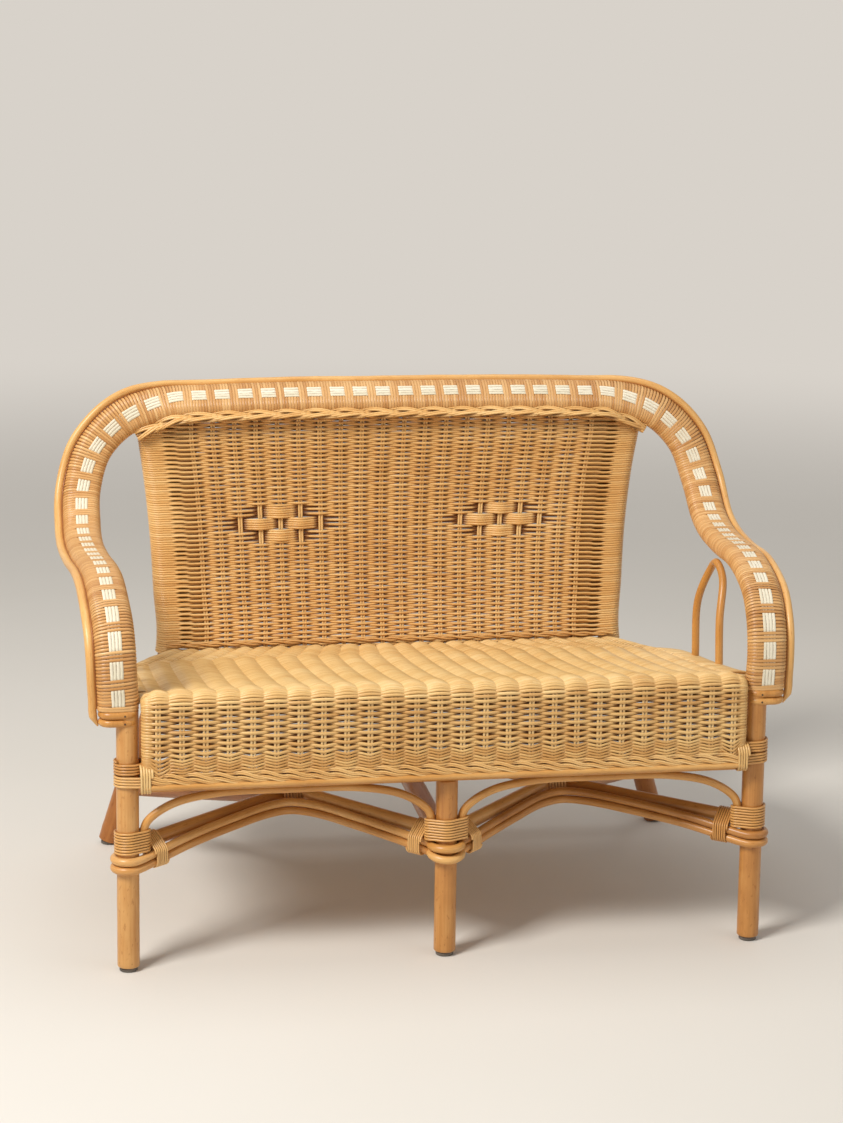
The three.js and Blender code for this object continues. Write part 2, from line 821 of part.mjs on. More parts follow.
const rearRailEnd = rearLegAt(rearRailZ).x;
const fatRearRail = pole(
  new THREE.Vector3(-rearRailEnd, rearRailY, rearRailZ),
  new THREE.Vector3(rearRailEnd, rearRailY, rearRailZ),
  sideRailRadius + clearance,
);

for (const [side, word] of [[-1, 'left'], [1, 'right']]) {
  const rail = cut(sideRail(side, sideRailRadius), fatRearLeg(side), fatRearRail);
  add(`seat_side_rail_${word}`, rail, colours.pole);
}

// The woven seat, cleared round the side rails
const seatSlab = slab(seatGrid(0, true), seatGrid(seatThickness, false));
const fatSideRails = [-1, 1].map((side) => sideRail(side, sideRailRadius + clearance));
add('seat_weave', cut(seatSlab, ...fatSideRails), colours.weave);

function crossRail(name, y, z, radius, halfLength, ...tools) {
  const rail = pole(new THREE.Vector3(-halfLength, y, z), new THREE.Vector3(halfLength, y, z), radius);
  add(name, tools.length ? cut(rail, ...tools) : rail, colours.pole);
}

const railHalf = legX - legRadius - 2 * cornerWinding.strand - windingClearance - railEndGap;
crossRail('seat_front_top_rail', seatRollY, seatRollZ, frontTopRailRadius, seatFrontHalfWidth);
crossRail('seat_front_bottom_rail', frontBottomRailY, frontBottomRailZ, frontBottomRailRadius, railHalf);
const fatRearLegs = [fatRearLeg(1), fatRearLeg(-1)];
crossRail('seat_rear_rail', rearRailY, rearRailZ, sideRailRadius, rearRailEnd, ...fatRearLegs);
crossRail('seat_front_braid', frontBraidY, frontBraidZ, braidRadius, railHalf);

// Back panel, curled round the posts at both sides
function backTopAt(x) {
  const { start, end } = backCornerShares;
  const share = Math.max((Math.abs(x) / legX - start) / (end - start), 0);
  return backTopZ - backCornerDrop * share * share;
}

function backFrontAt(x, z) {
  const post = rearLegAt(z);
  const height = (z - backBulgeZ) / (z < backBulgeZ ? backBulgeZ - backBottomZ : backTopZ - backBulgeZ);
  const across = x / post.x;
  const bulge = backBulge * (1 - height * height) * Math.max(1 - across * across, 0);
  return post.y - backRollOuter + bulge;
}

function backGrid(inner) {
  const rows = [];
  const radius = inner ? backRollInner : backRollOuter;
  for (let r = 0; r <= backRows; r += 1) {
    const row = [];
    const heightAt = (x) => THREE.MathUtils.lerp(backBottomZ, backTopAt(x), r / backRows);
    const roll = (side, angle) => {
      const guess = rearLegAt(heightAt(backCornerShares.end * legX));
      const z = heightAt(guess.x + radius * Math.sin(angle));
      const post = rearLegAt(z);
      row.push(new THREE.Vector3(
        side * (post.x + radius * Math.sin(angle)),
        post.y - radius * Math.cos(angle),
        z,
      ));
    };
    for (let i = backRollSteps; i >= 0; i -= 1) {
      roll(-1, (backRollWrap * i) / backRollSteps);
    }
    for (const { x, hollow } of ribPlaces(backRibs, rearLegAt(heightAt(0)).x)) {
      const z = heightAt(x);
      const depth = inner ? backThickness - hollow * backRibs.height : hollow * backRibs.height;
      row.push(new THREE.Vector3(x, backFrontAt(x, z) + depth, z));
    }
    for (let i = 0; i <= backRollSteps; i += 1) {
      roll(1, (backRollWrap * i) / backRollSteps);
    }
    rows.push(row);
  }
  return rows;
}

add('back_weave', cut(slab(backGrid(false), backGrid(true)), ...fatRims), colours.back);

// Height of the rim's centre line over a place along the arm
function rimCentreZ(y) {
  const before = rimSide.filter((frame) => frame.centre.y <= y).pop().centre;
  const after = rimSide.find((frame) => frame.centre.y > y).centre;
  return THREE.MathUtils.lerp(before.z, after.z, (y - before.y) / (after.y - before.y));
}

// Hairpin supports, upside-down U canes from the seat sides to the arms
for (const [side, word] of [[-1, 'left'], [1, 'right']]) {
  const footZ = (y) => {
    const rows = seatRows.filter((row) => row.y > 0).map((row) => [row.y, row.z]).reverse();
    return along(rows, y) - seatSideDrop + 2 * clearance + hairpinRadius * hairpinFootShare;
  };
  const bend = (back, z, x) => new THREE.Vector3(side * x, hairpinY + back, z);
  const hairpinTopZ = rimCentreZ(hairpinY) - rimHalfDepth - hairpinGap - hairpinRadius;
  const hairpinShoulderZ = THREE.MathUtils.lerp(footZ(hairpinY), hairpinTopZ, hairpinShoulderLevelShare);
  const hairpinFootX = hairpinFootXShare * legX;
  const hairpinTopX = hairpinTopXShare * legX;
  const shoulder = hairpinShoulderShare * hairpinHalfWidth;
  const across = hairpinBendShare * hairpinHalfWidth;
  const bendZ = hairpinTopZ - hairpinBendDropShare * hairpinHalfWidth;
  const route = [
    bend(-hairpinHalfWidth, footZ(hairpinY - hairpinHalfWidth), hairpinFootX),
    bend(-shoulder, hairpinShoulderZ, hairpinFootX),
    bend(-across, bendZ, hairpinTopX),
    bend(0, hairpinTopZ, hairpinTopX),
    bend(across, bendZ, hairpinTopX),
    bend(shoulder, hairpinShoulderZ, hairpinFootX),
    bend(hairpinHalfWidth, footZ(hairpinY + hairpinHalfWidth), hairpinFootX),
  ];
  add(`hairpin_support_${word}`, tube(smoothCurve(route), hairpinRadius, hairpinSteps), colours.cane);
}

// Under-frame: a pole from front to back, two diagonals, and the shorter poles that meet them
const ringReach = legRadius + clearance + 2 * bentCaneRadius;
const rearPost = rearLegAt(centerPoleZ);
crossRail('rear_stretcher', rearPost.y, centerPoleZ, rearStretcherRadius, rearPost.x, ...fatRearLegs);
add('center_stretcher', pole(
  new THREE.Vector3(0, ringReach + 2 * clearance, centerPoleZ),
  new THREE.Vector3(0, rearPost.y - rearStretcherRadius - 2 * clearance, centerPoleZ),
  centerPoleRadius,
), colours.dark);

const crossing = new THREE.Vector2(crossingX, crossingY);
const outerRun = crossing.clone().sub(new THREE.Vector2(legX, 0)).normalize();
const innerRun = crossing.clone().normalize();

function planPoint(x, y, z, side) {
  return new THREE.Vector3(side * x, y, z);
}

// How far a diagonal stays from the axis of the leg it is bound to
const jointReach = legRadius + braceRadius + 2 * jointWinding.strand + diagonalEndGap;

for (const [side, word] of [[-1, 'left'], [1, 'right']]) {
  const startX = legX + outerRun.x * jointReach;
  const startY = outerRun.y * jointReach;
  const long = (radius) => pole(
    planPoint(startX, startY, diagonalZ, side),
    planPoint(clearance, diagonalEndShare * frameDepth, diagonalZ, side),
    radius,
  );
  const short = pole(
    planPoint(innerRun.x * jointReach, innerRun.y * jointReach, diagonalZ, side),
    planPoint(crossingX, crossingY, diagonalZ, side),
    diagonalRadius,
  );
  const middlePlane = new THREE.BoxGeometry(legSpacing, 2 * legSpacing, legSpacing);
  middlePlane.translate(side * (clearance / 2 - legSpacing / 2), 0, 0);
  const fatLong = long(diagonalRadius + clearance);
  add(`diagonal_stretcher_${word}`, cut(long(diagonalRadius), middlePlane), colours.dark);
  add(`short_stretcher_${word}`, cut(short, fatLong), colours.dark);
  const route = rearDiagonalShares.map((share) => framePoint(share, share[2] * diagonalZ, side));
  const back = smoothCurve([...route, rearLegAt(rearDiagonalEndShare * diagonalZ, side)]);
  const rear = tube(back, diagonalRadius, rearDiagonalSteps, poleSides);
  add(`rear_diagonal_${word}`, cut(rear, fatLong, fatRearLeg(side)), colours.dark);
}

// Bent canes, hooked round the outer legs and arched in front of the crossing
function bentCaneRoute(z, side) {
  const hook = legRadius + bentCaneRadius + hookClearance;
  const route = [];
  const leave = Math.atan2(outerRun.x, -outerRun.y);
  for (let i = 0; i <= hookSteps; i += 1) {
    const angle = THREE.MathUtils.lerp(hookStart, leave, i / hookSteps);
    route.push(planPoint(legX + hook * Math.cos(angle), hook * Math.sin(angle), z, side));
  }
  const rise = (x) => z + archRise * (1 - ((x - legX / 2) / (legX / 2)) ** 2);
  const beside = (fromX, run, distance, offset) => {
    const x = fromX + run.x * distance - Math.abs(run.y) * offset * Math.sign(-run.x);
    const y = run.y * distance - Math.abs(run.x) * offset;
    route.push(planPoint(x, y, rise(x), side));
  };
  const outerLength = Math.hypot(legX - crossingX, crossingY);
  for (const [share, offset] of besideOuterPoleShares) {
    beside(legX, outerRun, share * outerLength, offset);
  }
  const peakX = archPeakShare * legX;
  route.push(planPoint(peakX, crossingY - archPeakForward, rise(peakX), side));
  for (const [share, offset] of besideInnerPoleShares) {
    beside(0, innerRun, share * crossing.length(), offset);
  }
  return route;
}

for (const [side, word] of [[-1, 'left'], [1, 'right']]) {
  for (const [level, z] of [['upper', hookUpperZ], ['lower', hookLowerZ]]) {
    const curve = smoothCurve(bentCaneRoute(z, side));
    add(`bent_cane_${level}_${word}`, tube(curve, bentCaneRadius, bentCaneSteps), colours.dark);
  }
}

// Rings of cane round the middle leg, level with the hooks
for (const [level, z] of [['upper', hookUpperZ], ['lower', hookLowerZ]]) {
  const middleRadius = legRadius + 2 * clearance + bentCaneRadius;
  const ring = new THREE.TorusGeometry(middleRadius, bentCaneRadius, caneSides, middleRingSteps);
  add(`middle_leg_ring_${level}`, ring, colours.cane).position.set(0, 0, z);
}

// Thin arched braces from the leg joints to the underside of the front rail
const besideLeg = legRadius + braceClearance + braceRadius;

function braceRoute(side) {
  const bend = braceBendShares.map(([across, rise]) => (
    [besideLeg + across * legX, THREE.MathUtils.lerp(jointTopZ, braceTopZ, rise)]
  ));
  bend.unshift([besideLeg, braceFootZ], [besideLeg, jointTopZ]);
  const fromOuter = bend.map(([inward, z]) => planPoint(legX - inward, 0, z, side));
  const toMiddle = bend.map(([inward, z]) => planPoint(inward, 0, z, side));
  return [...fromOuter, planPoint(legX / 2, 0, braceTopZ, side), ...toMiddle.reverse()];
}

for (const [side, word] of [[-1, 'left'], [1, 'right']]) {
  add(`front_brace_${word}`, tube(smoothCurve(braceRoute(side)), braceRadius, braceSteps), colours.cane);
}

// Windings: one strand wound round the outline of the circles that it binds
function supportPoint(circles, angle, extra) {
  const ux = Math.cos(angle);
  const uy = Math.sin(angle);
  let best = null;
  for (const [x, y, r] of circles) {
    const reach = x * ux + y * uy + r;
    if (!best || reach > best.reach) {
      best = { reach, x, y, r };
    }
  }
  const radius = (best.r + extra) / Math.cos(Math.PI / loopSteps);
  return [best.x + radius * ux, best.y + radius * uy];
}

function winding(name, circles, origin, axes, kind) {
  const [first, second, axis] = axes;
  const rings = [];
  const total = kind.loops * loopSteps;
  const length = kind.loops * kind.pitch;
  for (let i = 0; i <= total; i += 1) {
    const angle = ((i + 0.5) / loopSteps) * 2 * Math.PI;
    const [a, b] = supportPoint(circles, angle, kind.strand + windingClearance);
    const centre = origin.clone().addScaledVector(first, a).addScaledVector(second, b)
      .addScaledVector(axis, (length * i) / total - length / 2);
    const outward = first.clone().multiplyScalar(Math.cos(angle));
    outward.addScaledVector(second, Math.sin(angle));
    const ring = [];
    for (let s = 0; s < strandSides; s += 1) {
      const turn = (s / strandSides) * 2 * Math.PI;
      ring.push(centre.clone()
        .addScaledVector(outward, kind.strand * Math.cos(turn))
        .addScaledVector(axis, kind.strand * Math.sin(turn)));
    }
    rings.push(ring);
  }
  add(name, loft(rings), colours.winding);
  console.log(`${name}: least gap between turns ${leastGap(rings).toFixed(2)} mm`);
}

// Least distance between points of the strand that lie more than half a turn apart
function leastGap(rings) {
  let least = Infinity;
  for (let i = 0; i < rings.length; i += 1) {
    for (let j = i + loopSteps / 2; j < Math.min(rings.length, i + 2 * loopSteps); j += 1) {
      for (const p of rings[i]) {
        for (const q of rings[j]) {
          least = Math.min(least, p.distanceTo(q));
        }
      }
    }
  }
  return least;
}

const xAxis = new THREE.Vector3(1, 0, 0);
const yAxis = new THREE.Vector3(0, 1, 0);
const zAxis = new THREE.Vector3(0, 0, 1);

// Joint windings bind the brace ends to the front legs
const jointMiddle = jointWindingZ + (jointWinding.loops * jointWinding.pitch) / 2;
const legCircle = [0, 0, legRadius];
const braceCircle = (side) => [side * besideLeg, 0, braceRadius];
const jointAxes = [xAxis, yAxis, zAxis];
const joints = [
  ['left', -legX, [legCircle, braceCircle(1)]],
  ['middle', 0, [legCircle, braceCircle(1), braceCircle(-1)]],
  ['right', legX, [legCircle, braceCircle(-1)]],
];
for (const [word, x, circles] of joints) {
  const origin = new THREE.Vector3(x, 0, jointMiddle);
  winding(`joint_winding_${word}`, circles, origin, jointAxes, jointWinding);
}

// Corner windings tie the seat corners to the outer legs
for (const [side, word] of [[-1, 'left'], [1, 'right']]) {
  const origin = new THREE.Vector3(side * legX, 0, cornerWindingZ);
  winding(`corner_winding_${word}`, [legCircle], origin, jointAxes, cornerWinding);
}

// Crossing windings bind the diagonals where they cross
for (const [side, word] of [[-1, 'left'], [1, 'right']]) {
  const { loops, pitch, strand } = crossingWinding;
  const halfLength = (loops * pitch) / 2 + strand;
  const halfDeep = halfLength * (innerRun.y / innerRun.x);
  const wide = diagonalRadius / Math.abs(outerRun.x);
  const circles = [[-halfDeep, diagonalZ, wide], [halfDeep, diagonalZ, wide]];
  const origin = new THREE.Vector3(side * crossingX, crossingY, 0);
  winding(`crossing_winding_${word}`, circles, origin, [yAxis, zAxis, xAxis], crossingWinding);
}

// Side windings bind the bent canes to the diagonals beside each leg
function sideWindingAt(name, side, from, run, start, poleZ) {
  const axis = new THREE.Vector3(side * run.x, run.y, 0).normalize();
  const across = new THREE.Vector3(-axis.y * side, axis.x * side, 0);
  const origin = new THREE.Vector3(side * (from + run.x * start), run.y * start, 0);
  const lift = archRise * sideWindingRiseShare;
  const caneWide = bentCaneRadius + sideWindingCanePad;
  const circles = [
    [0, poleZ, diagonalRadius + sideWindingPolePad],
    [archOffset + sideWindingForward, hookUpperZ + lift, caneWide],
    [archOffset + sideWindingForward, hookLowerZ + lift, caneWide],
  ];
  const front = across.clone();
  if (front.y > 0) {
    front.negate();
  }
  winding(name, circles, origin, [front, zAxis, axis], sideWinding);
}

for (const [side, word] of [[-1, 'left'], [1, 'right']]) {
  sideWindingAt(`side_winding_outer_${word}`, side, legX, outerRun, outerWindingRun, diagonalZ);
  sideWindingAt(`side_winding_inner_${word}`, side, 0, innerRun, innerWindingRun, diagonalZ);
}

// The origin is under the middle of the sofa, on the floor
const extent = new THREE.Box3().setFromObject(sofa);
const middle = extent.getCenter(new THREE.Vector3());
sofa.position.set(-middle.x, -middle.y, -extent.min.z);

export default sofa;
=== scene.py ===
# Rattan garden sofa: the woven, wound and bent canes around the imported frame.
# Millimetres inside the script, measured from the floor under the middle front leg.
import math

import bpy
import numpy as np
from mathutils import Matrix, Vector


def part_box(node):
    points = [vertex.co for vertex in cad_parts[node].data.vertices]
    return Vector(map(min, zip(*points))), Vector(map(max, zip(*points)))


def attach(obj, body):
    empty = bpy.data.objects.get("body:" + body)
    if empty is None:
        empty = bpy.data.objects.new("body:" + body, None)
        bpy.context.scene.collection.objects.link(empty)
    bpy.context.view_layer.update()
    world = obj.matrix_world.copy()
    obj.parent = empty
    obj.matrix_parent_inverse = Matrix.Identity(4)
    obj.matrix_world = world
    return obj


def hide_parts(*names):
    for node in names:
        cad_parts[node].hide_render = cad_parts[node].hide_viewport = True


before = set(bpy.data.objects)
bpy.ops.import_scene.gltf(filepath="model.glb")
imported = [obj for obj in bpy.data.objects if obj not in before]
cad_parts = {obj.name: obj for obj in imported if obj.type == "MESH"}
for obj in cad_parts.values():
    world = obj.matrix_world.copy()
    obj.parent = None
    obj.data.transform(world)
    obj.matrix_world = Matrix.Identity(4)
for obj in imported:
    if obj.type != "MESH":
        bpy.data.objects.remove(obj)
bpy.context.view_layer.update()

MM = 1000
SIDES = ((-1, "left"), (1, "right"))
FORWARD = np.array([0.0, -1.0, 0.0])
SHARP_ANGLE = math.radians(72)
GRAIN_SHIFT = 3 * MM
GRAIN_LANES = 90
WEAVER_TINTS = (0.2, 0.8)
STAKE_TINT = 0.9
SEED = 7
random = np.random.default_rng(SEED)


# Driving dimensions, read from the frame
def node_box(node):
    return np.array(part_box(node)) * MM


def middle_of(node):
    return node_box(node).mean(0)


ORIGIN = middle_of("front_leg_middle") * (1, 1, 0)
LEG_X = (middle_of("front_leg_right") - ORIGIN)[0]
DEPTH = (middle_of("foot_glide_rear_left") - ORIGIN)[1]
SEAT_HEIGHT = node_box("seat_weave")[1][2]
SEAT_BACK_Z = 0.8092 * SEAT_HEIGHT
ARM_HEIGHT = 541
BACK_HEIGHT = 741
LEG_RADIUS = 16
REAR_LEG_RADIUS = 17
GLIDE_HEIGHT = 6
GLIDE_RADIUS = 13
CLEARANCE = 0.3


# Curves
def unit(v):
    return v / np.maximum(np.linalg.norm(v, axis=-1, keepdims=True), 1e-9)


def smooth(start, end, value):
    t = np.clip((value - start) / (end - start), 0, 1)
    return t * t * (3 - 2 * t)


def mix(a, b, share):
    return a + (b - a) * share


def spots(*parts):
    """Places from their coordinates, any of which may be one number for all."""
    return np.stack(np.broadcast_arrays(*parts), -1)


def path_length(path):
    steps = np.linalg.norm(np.diff(path, axis=0), axis=1)
    return np.concatenate([[0], np.cumsum(steps)])


def evenly(path, step):
    """The same path with points a step apart."""
    along = path_length(path)
    count = max(int(round(along[-1] / step)), 2)
    wanted = np.linspace(0, along[-1], count + 1)
    return np.stack([np.interp(wanted, along, column) for column in path.T], -1)


def spline(points, step=3.0, fine=24):
    """A centripetal Catmull-Rom curve through the points, with points a step apart."""
    p = np.asarray(points, float)
    p = np.vstack([2 * p[0] - p[1], p, 2 * p[-1] - p[-2]])
    knots = np.concatenate([[0], np.cumsum(np.linalg.norm(np.diff(p, axis=0), axis=1) ** 0.5)])
    pieces = []
    for i in range(1, len(p) - 2):
        t0, t1, t2, t3 = knots[i - 1 : i + 3]
        t = np.linspace(t1, t2, fine, endpoint=False)[:, None]
        a1 = mix(p[i - 1], p[i], (t - t0) / (t1 - t0))
        a2 = mix(p[i], p[i + 1], (t - t1) / (t2 - t1))
        a3 = mix(p[i + 1], p[i + 2], (t - t2) / (t3 - t2))
        b1 = mix(a1, a2, (t - t0) / (t2 - t0))
        b2 = mix(a2, a3, (t - t1) / (t3 - t1))
        pieces.append(mix(b1, b2, (t - t1) / (t2 - t1)))
    return evenly(np.vstack([*pieces, p[-2:-1]]), step)


def straight(start, end, step=8):
    return evenly(np.array([start, end], float), step)


def route_of(shares, low, middle, high):
    """Places from shares of the leg spacing and the depth, and levels 0, 1 and 2 at three heights."""
    route = []
    for x, y, level in shares:
        z = mix(middle, high, level - 1) if level > 1 else mix(low, middle, level)
        route.append((x * LEG_X, y * DEPTH, z))
    return route


def mirror(points, side=-1):
    return np.asarray(points, float) * (side, 1, 1)


def wander(length, size, wave):
    """Gentle random drift for each point of a path, in waves of so many points."""
    phases = random.uniform(0, 2 * np.pi, 3)
    t = np.arange(length) / wave
    return size * (np.sin(2 * np.pi * t + phases[0]) + 0.6 * np.sin(4.4 * np.pi * t + phases[1])
                   + 0.3 * np.sin(9.1 * np.pi * t + phases[2]))


# Strand sections: across the strand, and out from what it lies on
def round_section(radius, sides):
    angle = 2 * np.pi * np.arange(sides) / sides - np.pi / 2
    return radius * np.stack([np.cos(angle), np.sin(angle)], -1)


def flat_section(width, thickness):
    """A flat cane: level below, gently crowned above."""
    across = np.linspace(-1, 1, 5)
    crown = np.sqrt(np.clip(1 - (0.94 * across) ** 4, 0, 1))
    top = np.stack([across * width / 2, (crown - 0.5) * thickness], -1)[::-1]
    return np.vstack([spots((-0.44 * width, 0.44 * width), -thickness / 2), top])


def patches(here, beside):
    """The four corners of each patch between one ring and the next."""
    return np.stack([here[:, :-1], here[:, 1:], beside[:, 1:], beside[:, :-1]], 3)


def fill(rows, word, values, kind=np.float32):
    rows.foreach_set(word, values.astype(kind).reshape(-1))


class Bundle:
    """Strands and lofted bodies gathered into one mesh."""

    def __init__(self):
        self.points = []
        self.quads = []
        self.caps = []
        self.values = {"tint": [], "lift": []}
        self.count = 0

    def loft(self, rings, tints=None, lifts=0.0):
        """Rings of points (strands, rings, sides, 3) joined in order, with flat ends."""
        rings = np.asarray(rings, float)
        if rings.ndim == 3:
            rings = rings[None]
        shape = rings.shape[:3]
        strands, length, sides = shape
        if tints is None:
            tints = random.uniform(0, 1, (strands, 1))
        tints = np.asarray(tints, float).reshape(strands, -1)
        ids = self.count + np.arange(strands * length * sides).reshape(shape)
        run = np.linalg.norm(np.diff(rings.mean(2), axis=1), axis=-1)
        u = np.concatenate([np.zeros((strands, 1)), np.cumsum(run, axis=1)], 1)
        u = (u + random.uniform(0, GRAIN_SHIFT, (strands, 1))) / MM
        lane = np.floor(random.uniform(0, GRAIN_LANES, (strands, 1, 1)))
        uv = spots(u[:, :, None], np.arange(sides) / sides + lane)
        quads = patches(ids, np.roll(ids, -1, axis=2))
        self.quads.append((quads.reshape(-1, 4), patches(uv, uv + (0, 1 / sides)).reshape(-1, 4, 2)))
        self.caps += [(ids[:, 0], uv[:, 0]), (ids[:, -1, ::-1], uv[:, -1])]
        self.points.append(rings.reshape(-1, 3))
        # Each point also keeps its lift, 1 in front and -1 behind, which the weave materials turn into
        # painted shade.
        for word, value in (("tint", tints), ("lift", lifts)):
            value = np.broadcast_to(value, (strands, length))[:, :, None]
            self.values[word].append(np.broadcast_to(value, shape).reshape(-1))
        self.count += ids.size
        return self

    def strand(self, paths, section, normals=None, scale=1.0, tints=None, lifts=0.0):
        """Sweeps a section along one path (points, 3) or many (strands, points, 3)."""
        paths = np.asarray(paths, float)
        if paths.ndim == 2:
            paths = paths[None]
        tangent = unit(np.gradient(paths, axis=1))
        if normals is None:
            normals = carried_normals(tangent)
        across = unit(np.cross(tangent, np.broadcast_to(normals, paths.shape)))
        out = np.cross(across, tangent)
        size = np.broadcast_to(np.asarray(scale, float), paths.shape[:2])[:, :, None, None]
        offset = section[:, 0, None] * across[:, :, None] + section[:, 1, None] * out[:, :, None]
        return self.loft(paths[:, :, None] + size * offset, tints, lifts)

    def mesh(self, name):
        points = (np.vstack(self.points) + ORIGIN) / MM
        faces, uvs = zip(*self.quads, *self.caps)
        loops = np.concatenate([part.reshape(-1) for part in faces])
        sizes = np.concatenate([np.full(len(part), part.shape[1]) for part in faces])
        mesh = bpy.data.meshes.new(name)
        mesh.vertices.add(len(points))
        fill(mesh.vertices, "co", points)
        mesh.loops.add(len(loops))
        fill(mesh.loops, "vertex_index", loops, np.int32)
        mesh.polygons.add(len(sizes))
        fill(mesh.polygons, "loop_start", np.cumsum(sizes) - sizes, np.int32)
        mesh.update(calc_edges=True)
        mesh.uv_layers.new(name="strand")
        fill(mesh.uv_layers["strand"].data, "uv", np.vstack([part.reshape(-1, 2) for part in uvs]))
        for word, values in self.values.items():
            fill(mesh.attributes.new(word, "FLOAT", "POINT").data, "value", np.concatenate(values))
        fill(mesh.polygons, "use_smooth", np.ones(len(sizes)), bool)
        mesh.set_sharp_from_angle(angle=SHARP_ANGLE)
        return mesh


def carried_normals(tangent):
    """Normals that turn as little as they can along each path."""
    normals = np.empty_like(tangent)
    start = np.tile(FORWARD, (len(tangent), 1))
    start[np.abs(tangent[:, 0] @ FORWARD) > 0.9] = (0.0, 0.0, 1.0)
    for i in range(tangent.shape[1]):
        start = unit(start - (start * tangent[:, i]).sum(-1, keepdims=True) * tangent[:, i])
        normals[:, i] = start
    return normals


def shown(name, data):
    """A new object in the scene."""
    made = bpy.data.objects.new(name, data)
    bpy.context.scene.collection.objects.link(made)
    return made


def piece(name, bundle, material, slot, *nodes):
    """One object of the sofa, which stands for the named nodes."""
    made = shown(name, bundle.mesh(name))
    made.data.materials.append(material)
    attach(made, "root")
    if nodes:
        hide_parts(*nodes)


# Materials
def linear(red, green, blue):
    """A colour written as the eye sees it, 0 to 255, as shaders want it."""
    values = np.array([red, green, blue]) / 255
    return (*np.where(values <= 0.04045, values / 12.92, ((values + 0.055) / 1.055) ** 2.4), 1.0)


class Nodes:
    """A short way to write the node tree of a material or a world."""

    def __init__(self, owner, main="Principled BSDF"):
        owner.use_nodes = True
        self.tree = owner.node_tree
        self.main = self.tree.nodes[main]

    def feed(self, node, inputs):
        """Gives inputs a value, or another node's output."""
        for key, value in inputs.items():
            if isinstance(value, bpy.types.NodeSocket):
                self.tree.links.new(value, node.inputs[key])
            else:
                node.inputs[key].default_value = value

    def add(self, kind, inputs=None, **settings):
        node = self.tree.nodes.new(kind)
        for key, value in settings.items():
            setattr(node, key, value)
        self.feed(node, inputs or {})
        return node

    def noise(self, vector, scale, detail, roughness=0.55, distortion=0.0):
        inputs = {"Vector": vector, "Scale": scale, "Detail": detail}
        inputs |= {"Roughness": roughness, "Distortion": distortion}
        return self.add("ShaderNodeTexNoise", inputs).outputs["Fac"]

    def scaled(self, vector, size):
        return self.add("ShaderNodeMapping", {"Vector": vector, "Scale": size}).outputs["Vector"]

    def attribute(self, word):
        return self.add("ShaderNodeAttribute", attribute_name=word).outputs["Fac"]

    def ramp(self, value, *stops):
        node = self.add("ShaderNodeValToRGB", {"Fac": value})
        band = node.color_ramp
        while len(band.elements) < len(stops):
            band.elements.new(0.5)
        for element, (place, colour) in zip(band.elements, stops):
            element.position = place
            element.color = colour
        return node.outputs["Color"]

    def mixed(self, share, a, b, how="MIX"):
        """Mixes two colours, which the node takes at inputs 6 and 7 and gives at output 2."""
        return self.add("ShaderNodeMix", {0: share, 6: a, 7: b}, data_type="RGBA", blend_type=how).outputs[2]

    def math(self, how, *values):
        return self.add("ShaderNodeMath", dict(enumerate(values)), operation=how).outputs[0]

    def times(self, *values):
        product = values[0]
        for value in values[1:]:
            product = self.math("MULTIPLY", product, value)
        return product

    def ranged(self, value, low, high):
        inputs = {"Value": value, "To Min": low, "To Max": high}
        return self.add("ShaderNodeMapRange", inputs).outputs["Result"]

    def skin(self, colour, roughness, height, strength, depth):
        """Colour, roughness and fine relief."""
        bump = self.add("ShaderNodeBump", {"Strength": strength, "Distance": depth, "Height": height})
        looks = {"Base Color": colour, "Roughness": roughness, "Normal": bump.outputs["Normal"]}
        self.feed(self.main, looks)


BLACK = (0, 0, 0, 1)
WHOLE = (1, 1, 1, 1)
SPECK = (0.62, 0.45, 0.30, 1)
# Colour of the painted shade in the grooves of a weave
GROOVE_SHADE_COLOUR = (0.26, 0.15, 0.09, 1)
FIBRE_SCALE = (14, 9, 1)
STREAK_SCALE = (5, 26, 1)
SPECK_SCALE = (60, 14, 1)
BLOTCH_SCALE = 9
STREAK_RELIEF = 0.0003
PIT_RELIEF = 0.0002


